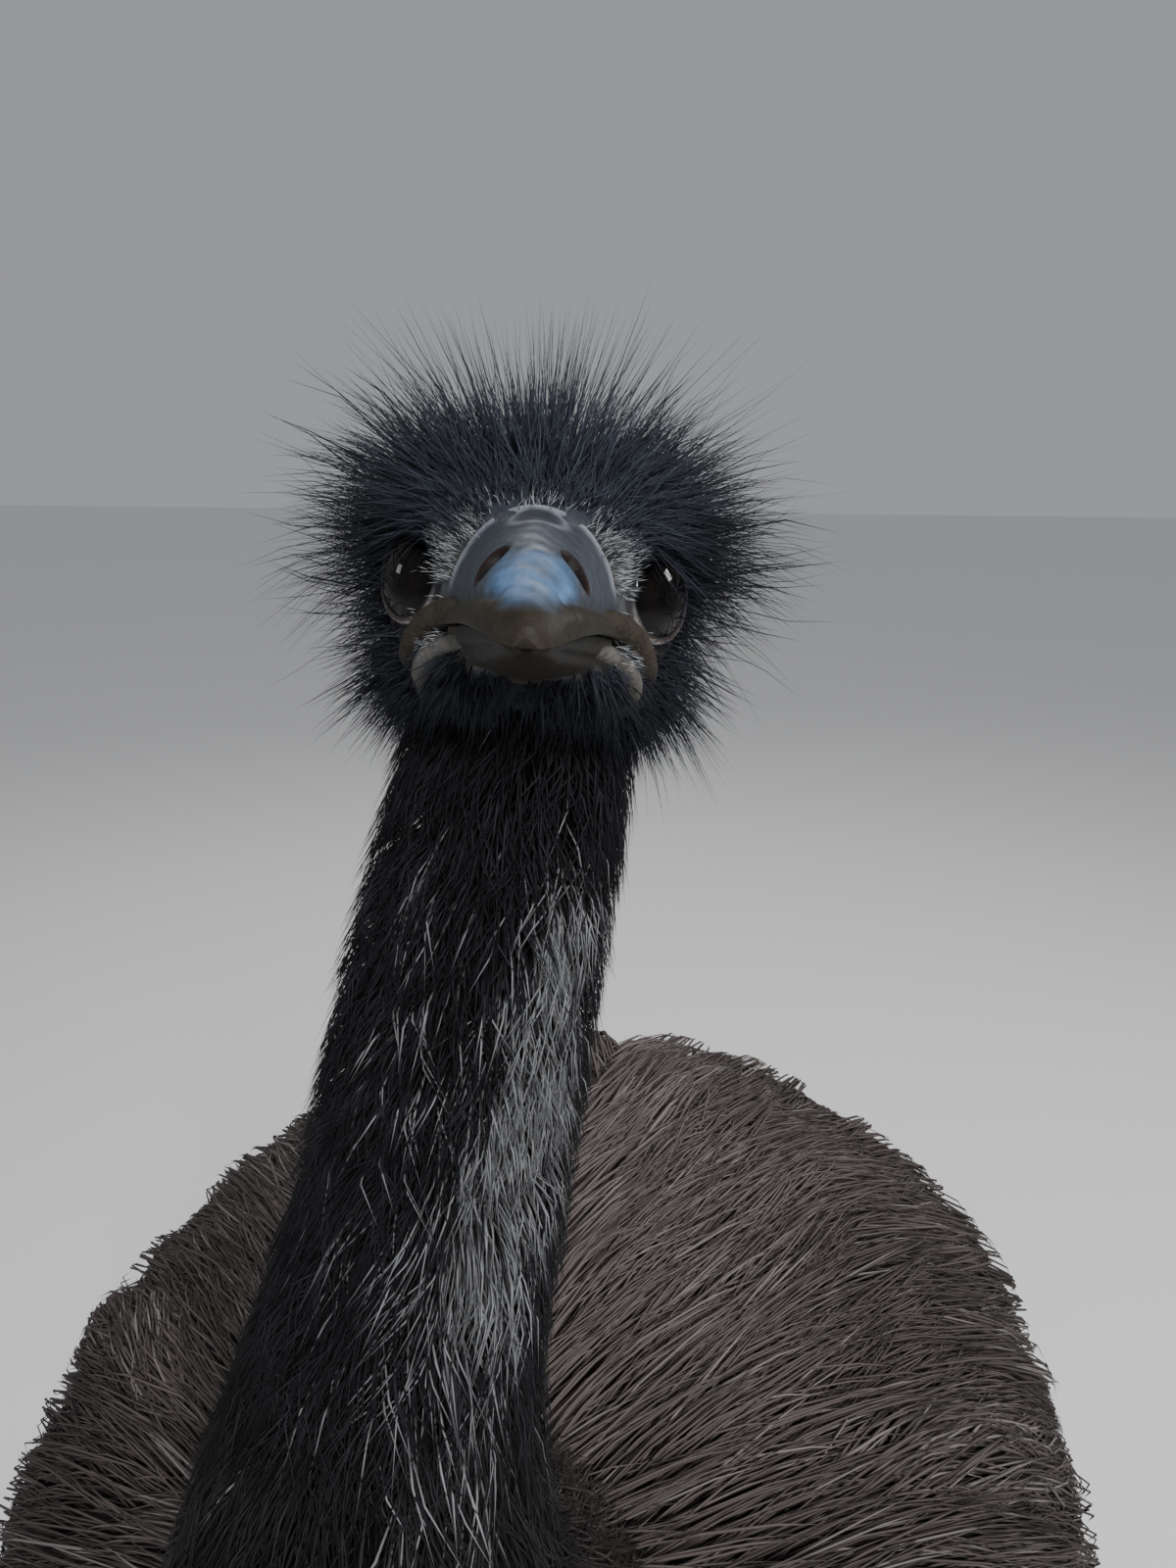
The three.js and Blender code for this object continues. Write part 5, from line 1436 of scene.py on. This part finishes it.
def body_coat():
    u, angle, which = clumps(body, BODY_STRANDS, BODY_CLUMP, body_density)
    centre = body.point(u, angle)
    path, out = body_paths(u, centre, unit(centre - body_axis(centre[:, 1])), which)
    tone = clump_normal(which, CLUMP_TONE) + rng.normal(0, OWN_TONE, len(u)) + layered(centre, TONE_WAVES)
    draw = 0.55 * rng.random(len(u)) + 0.45 * clump_random(which)
    width = (FEATHER_WIDTH + OWN_WIDTH * rng.random(len(u))) * (1 - SHOULDER_FINER * shoulder(centre))
    free = ~inside_neck(path[:, 1], NECK_FOOT_MARGIN)
    colours = body_colour(path[:, 0], np.clip(tone, -TONE_MOST, TONE_MOST), draw)
    split("coat_body", "body_plumage", 5, free, path, out, width, colours, unwrapped("body", u, angle))


# The plumes of neck, thighs and wings.
def along_limb(form, u):
    """A base value and what is added to it between places along a limb."""
    value, *steps = form
    for rise, start, end in steps:
        value = value + rise * smooth_step(start, end, u)
    return value


def tube_coat(tube, plumes, allowed=None):
    """Plumes over a limb or neck, in clumps that point along it."""
    u, angle, which = clumps(tube, plumes["strands"], plumes["clump"], allowed)
    du, da = tube.slopes(u, angle)
    long, around = np.linalg.norm(du, axis=-1), np.linalg.norm(da, axis=-1)
    offset = rng.normal(0, plumes["spread"], (len(u), 2))
    root_u = np.clip(u + offset[:, 0] * PLUME_ALONG / long, 0.0, 1.0)
    root_angle = angle + offset[:, 1] / around
    reach = along_limb(plumes["length"], u) * for_strands(which, *PLUME_REACH)
    drift = plumes["drift"]
    sway = (clump_normal(which, drift) + rng.normal(0, drift * PLUME_OWN_SWAY, len(u))) * reach / around
    high = along_limb(plumes["lift"], u) * (PLUME_LIFT[0] + PLUME_LIFT[1] * clump_random(which))
    path = np.empty((len(u), plumes["rings"] + 1, 3))
    for k, t in enumerate(STEPS[plumes["rings"]]):
        at_u = (root_u * (1 - t) + (u * 0.5 + root_u * 0.5) * t) + plumes["turn"] * reach * t / long
        at_angle = root_angle * (1 - t) + (angle * 0.6 + root_angle * 0.4) * t + sway * t
        rough = rng.normal(0, TUBE_ROUGHNESS, len(u)) * t
        rise = -PLUME_DEPTH + (high + PLUME_DEPTH) * np.sin(t * ARCH_TURN) + rough
        past = at_u - np.clip(at_u, 0, 1)
        path[:, k] = tube.point(at_u, at_angle, rise) + du * past[:, None]
        if k == 1:
            out = unit(path[:, k] - tube.section(np.clip(at_u, 0, 1))[0])
    width = along_limb(plumes["width"], u) * (PLUME_WIDTH[0] + PLUME_WIDTH[1] * rng.random(len(u)))
    return u, angle, which, path, out, width


def neck_density(u, _):
    return (u > NECK_START) * along_limb(NECK_DENSITY, u)


def thigh_density(u, _):
    return (u > THIGH_START) * (1 + THIGH_DENSER * (u > THIGH_DENSER_FROM))


def neck_coat():
    u, angle, which, path, out, width = tube_coat(neck, NECK_PLUMES, neck_density)
    tone = np.clip(clump_normal(which, 0.35) + rng.normal(0, 0.35, len(u)), -1, 1.5)
    draw = 0.65 * rng.random(len(u)) + 0.35 * clump_random(which)
    free = ~body.holds(path[:, 1], CORE_MARGIN)
    colours, home = neck_colour(u, angle, tone, draw), unwrapped("neck", u, angle)
    split("coat_neck", "neck_plumage", 3, free, path, out, width, colours, home)


def thigh_plumes():
    for _, name in SIDES:
        u, angle, _, path, out, width = tube_coat(thighs[name], THIGH_PLUMES, thigh_density)
        tone = np.clip(rng.normal(0, 0.4, len(u)), -1, 1.5)
        shade = mix(BROWN, DARK_BROWN, 0.5) * (1 + 0.4 * tone)[:, None]
        free = ~body.holds(path[:, 1], CORE_MARGIN)
        colours, home = (shade * 0.6, shade, shade), unwrapped(f"thigh_{name}", u, angle)
        split(f"coat_thigh_{name}", "body_plumage", 1, free, path, out, width, colours, home)


def wing_plumes():
    for _, name in SIDES:
        u, angle, _, path, out, width = tube_coat(wings[name], WING_PLUMES)
        tone = np.clip(rng.normal(0, 0.5, len(u)), -1, 1.5)
        colours = body_colour(path[:, 0], tone, rng.random(len(u)))
        free = ~body.holds(path[:, 2], CORE_MARGIN)
        home = unwrapped(f"wing_{name}", u, angle)
        split(f"coat_wing_{name}", "body_plumage", 1, free, path, out, width, colours, home)


# The head's feathers: a loose mop on the crown, brows that flare to the sides, cheeks, throat and short
# bristles on the face.
def eye_angle(p):
    """Degrees of head points from the axis of the eye on their own side."""
    folded = np.concatenate([np.abs(p[..., :1]), p[..., 1:]], axis=-1)
    return degrees_off(unit(folded - eye_place(1)), 1)


def head_strands(name, grows, count, stand, lie, width, size, rings, sway, droop, curled):
    """One piece of the head's coat: strands in small clumps, which stand off the skin and then bend."""
    weight, length, tint = grows
    u, angle, which = clumps(head, count, size, lambda u, a: weight(head.point(u, a)))
    u = np.clip(u + rng.normal(0, HEAD_SCATTER[0], len(u)), 0.005, 0.995)
    angle = angle + rng.normal(0, HEAD_SCATTER[1], len(u))
    root, out = head.point(u, angle), head.normal(u, angle)
    way = lie(root)
    way = unit(way - out * (way * out).sum(-1, keepdims=True))
    turn = clump_normal(which, sway, 3) + rng.normal(0, sway * 0.75, (len(u), 3))
    heading = unit(way * (1 - stand) + out * stand + turn)
    reach = length(root) * for_strands(which, *HEAD_REACH)
    room = (cad_box[1][2] - 0.001 - head_to_bird(root)[:, 2]) / np.maximum((heading @ HEAD_POSE.T)[:, 2], 0.1)
    reach = np.minimum(reach, room)[:, None]
    bend = way * HEAD_BEND - np.array([0.0, 0.0, droop])
    curl = unit(clump_normal(which, 1, 3) + rng.normal(0, 0.7, (len(u), 3))) * curled
    path = np.empty((len(u), rings + 1, 3))
    for k, t in enumerate(STEPS[rings]):
        over = heading * t + bend * t * t + curl * np.sin(t * HEAD_CURL) * t
        path[:, k] = root - out * HEAD_ROOT_DEPTH * (1 - t) + over * reach
    thick = width * (HEAD_WIDTH[0] + HEAD_WIDTH[1] * rng.random(len(u)))
    tone = np.clip(clump_normal(which, 0.35) + rng.normal(0, 0.35, len(u)), -1, 1.6)
    shade = tint(root) * (1 + 0.5 * tone)[:, None]
    outs = unit(np.cross(np.cross(heading, out), heading)) @ HEAD_POSE.T
    every, colours = np.ones(len(u), bool), (shade * 0.75, shade, shade * 1.1)
    home = unwrapped("head", u, angle)
    split(name, "crown_plumage", 1, every, head_to_bird(path), outs, thick, colours, home)


def even(value):
    return lambda p: value


def direction(sideways, back, up):
    """A lie that spreads from the middle, runs back and rises or hangs."""
    return lambda p: np.stack([p[..., 0] * sideways, back + 0 * p[..., 1], up + 0 * p[..., 2]], -1)


def crown_weight(p):
    x, y, z = np.abs(p[..., 0]), p[..., 1], p[..., 2]
    high = smooth_step(*CROWN_LOW, z + 0.25 * np.maximum(y, 0))
    behind = smooth_step(*CROWN_FRONT, y)
    return high * behind * (eye_angle(p) > CROWN_DEG) * (1 + 1.3 * smooth_step(*CROWN_SIDE, x))


def crown_length(p):
    beside = smooth_step(0.012, 0.026, np.abs(p[..., 0]))
    front = smooth_step(-0.031, -0.006, p[..., 1])
    near_eye = smooth_step(CROWN_DEG, FULL_DEG, eye_angle(p))
    return (0.007 + 0.024 * front) * (1 + 0.52 * beside) * (0.4 + 0.6 * near_eye)


def crest_weight(p):
    return crown_weight(p) * bump(p[..., 0], 0.016) * smooth_step(-0.02, -0.008, p[..., 1])


def off_lips(p):
    return np.minimum(near_lip(p, UPPER_LIP), near_lip(p, LOWER_LIP))


def cheek_weight(p):
    behind = smooth_step(*CHEEK_FRONT, p[..., 1])
    low = smooth_step(*CHEEK_TOP, p[..., 2] - 0.1 * np.maximum(p[..., 1], 0))
    ear = np.hypot(p[..., 1] - EAR_BACK, p[..., 2] + EAR_DOWN) > EAR_CLEAR
    clear = (off_lips(p) > 1.15) | (p[..., 1] > -0.010)
    return behind * low * (eye_angle(p) > CHEEK_DEG) * clear * ear


def cheek_length(p):
    beside = smooth_step(0.014, 0.026, np.abs(p[..., 0]))
    near_eye = smooth_step(CHEEK_DEG, FULL_DEG, eye_angle(p))
    near_mouth = smooth_step(-0.014, 0.004, p[..., 1])
    full = 0.012 + 0.018 * beside * smooth_step(-0.036, -0.02, p[..., 2])
    return full * (0.5 + 0.5 * near_eye) * (0.25 + 0.75 * near_mouth)


def down_weight(p):
    return np.maximum(crown_weight(p), 0.8 * cheek_weight(p) * smooth_step(0.0, 0.01, p[..., 1]))


def down_length(p):
    return 0.008 + 0.013 * smooth_step(0.014, 0.028, np.abs(p[..., 0])) * smooth_step(58, 85, eye_angle(p))


def chin_weight(p):
    return smooth_step(*CHIN_TOP, p[..., 2]) * (p[..., 1] > CHIN_FRONT) * smooth_step(1.2, 1.8, off_lips(p))


def face_weight(p):
    inside = (p[..., 1] > FACE_FRONT) * (p[..., 2] > FACE_LOW)
    return inside * smooth_step(*FACE_BACK, p[..., 1]) * (eye_angle(p) > FACE_DEG) * (off_lips(p) > 1.1)


def face_length(p):
    return 0.0016 + 0.0032 * smooth_step(FACE_DEG, 66, eye_angle(p))


def face_tint(p):
    pale = 0.75 * smooth_step(0.026, 0.008, p[..., 2]) * smooth_step(0.012, -0.006, p[..., 1])
    pale = pale * smooth_step(-0.022, -0.014, p[..., 2])
    return mix(CROWN_GREY, FACE_GREY * 2.8, (rng.random(len(p)) < pale) * (0.5 + 0.5 * rng.random(len(p))))


# Black, turning bluish grey towards the front: partly the crown's own slate grey, partly a painted sheen.
def crown_tint_and_sheen(p):
    return mix(BLACK, CROWN_GREY * 0.85, smooth_step(0.012, -0.012, p[..., 1]))


def head_coat():
    """Every coat of the head, with where it grows, its length and its colour."""
    grows = {
        "crown": (crown_weight, crown_length, crown_tint_and_sheen),
        "crest": (crest_weight, even(CREST_LENGTH), crown_tint_and_sheen),
        "down": (down_weight, down_length, crown_tint_and_sheen),
        "cheeks": (cheek_weight, cheek_length, even(BLACK * 1.3)),
        "chin": (chin_weight, even(CHIN_LENGTH), even(BLACK)),
        "face": (face_weight, face_length, face_tint),
    }
    for name, (count, stand, lie, width, more) in HEAD_COATS.items():
        form = {**HEAD_STRAND, **more}
        head_strands(f"coat_{name}", grows[name], count, stand, direction(*lie), width, **form)


# Floor, light and camera.
def add_to_scene(name, data):
    obj = bpy.data.objects.new(name, data)
    bpy.context.scene.collection.objects.link(obj)
    return obj


def looking(place, aim):
    back = unit(place - aim)
    right = unit(np.cross([0, 0, 1], back))
    turn = Matrix(np.column_stack([right, np.cross(back, right), back]).tolist()).to_4x4()
    return Matrix.Translation(place.tolist()) @ turn


def build_floor():
    half = FLOOR_SIZE / 2
    corners = np.array([(-half, -half, 0.0), (half, -half, 0.0), (half, half, 0.0), (-half, half, 0.0)])
    floor = mesh_object("floor", corners, np.array([[0, 1, 2, 3]]))
    material = bpy.data.materials.new("floor")
    material.use_nodes = True
    shader = material.node_tree.nodes["Principled BSDF"]
    shader.inputs["Base Color"].default_value = FLOOR_GREY
    shader.inputs["Roughness"].default_value = 0.9
    shader.inputs["Specular IOR Level"].default_value = 0.1
    floor.data.materials.append(material)


def build_lights():
    """Soft square lamps in an evenly lit studio."""
    world = bpy.data.worlds.new("studio")
    world.use_nodes = True
    background = world.node_tree.nodes["Background"]
    background.inputs["Color"].default_value = STUDIO_GREY
    background.inputs["Strength"].default_value = STUDIO_STRENGTH
    bpy.context.scene.world = world
    for name, (place, aim, size, power) in LAMPS.items():
        lamp = bpy.data.lights.new(name, "AREA")
        lamp.size, lamp.energy = size, power
        add_to_scene(name, lamp).matrix_world = looking(np.array(place), np.array(aim))


def build_camera():
    lens = bpy.data.cameras.new("camera")
    lens.lens, lens.sensor_width, lens.clip_start = CAMERA_LENS, CAMERA_SENSOR, CAMERA_NEAR
    camera = add_to_scene("camera", lens)
    camera.location = (CAMERA_PLACE + SHIFT).tolist()
    camera.rotation_euler = (math.radians(90 - CAMERA_PITCH_DEG), 0, math.radians(CAMERA_HEADING_DEG))
    bpy.context.scene.camera = camera


build_camera()
build_floor()
build_lights()
build_skin()
build_bill()
build_eyes()
build_legs()
body_coat()
neck_coat()
thigh_plumes()
wing_plumes()
head_coat()
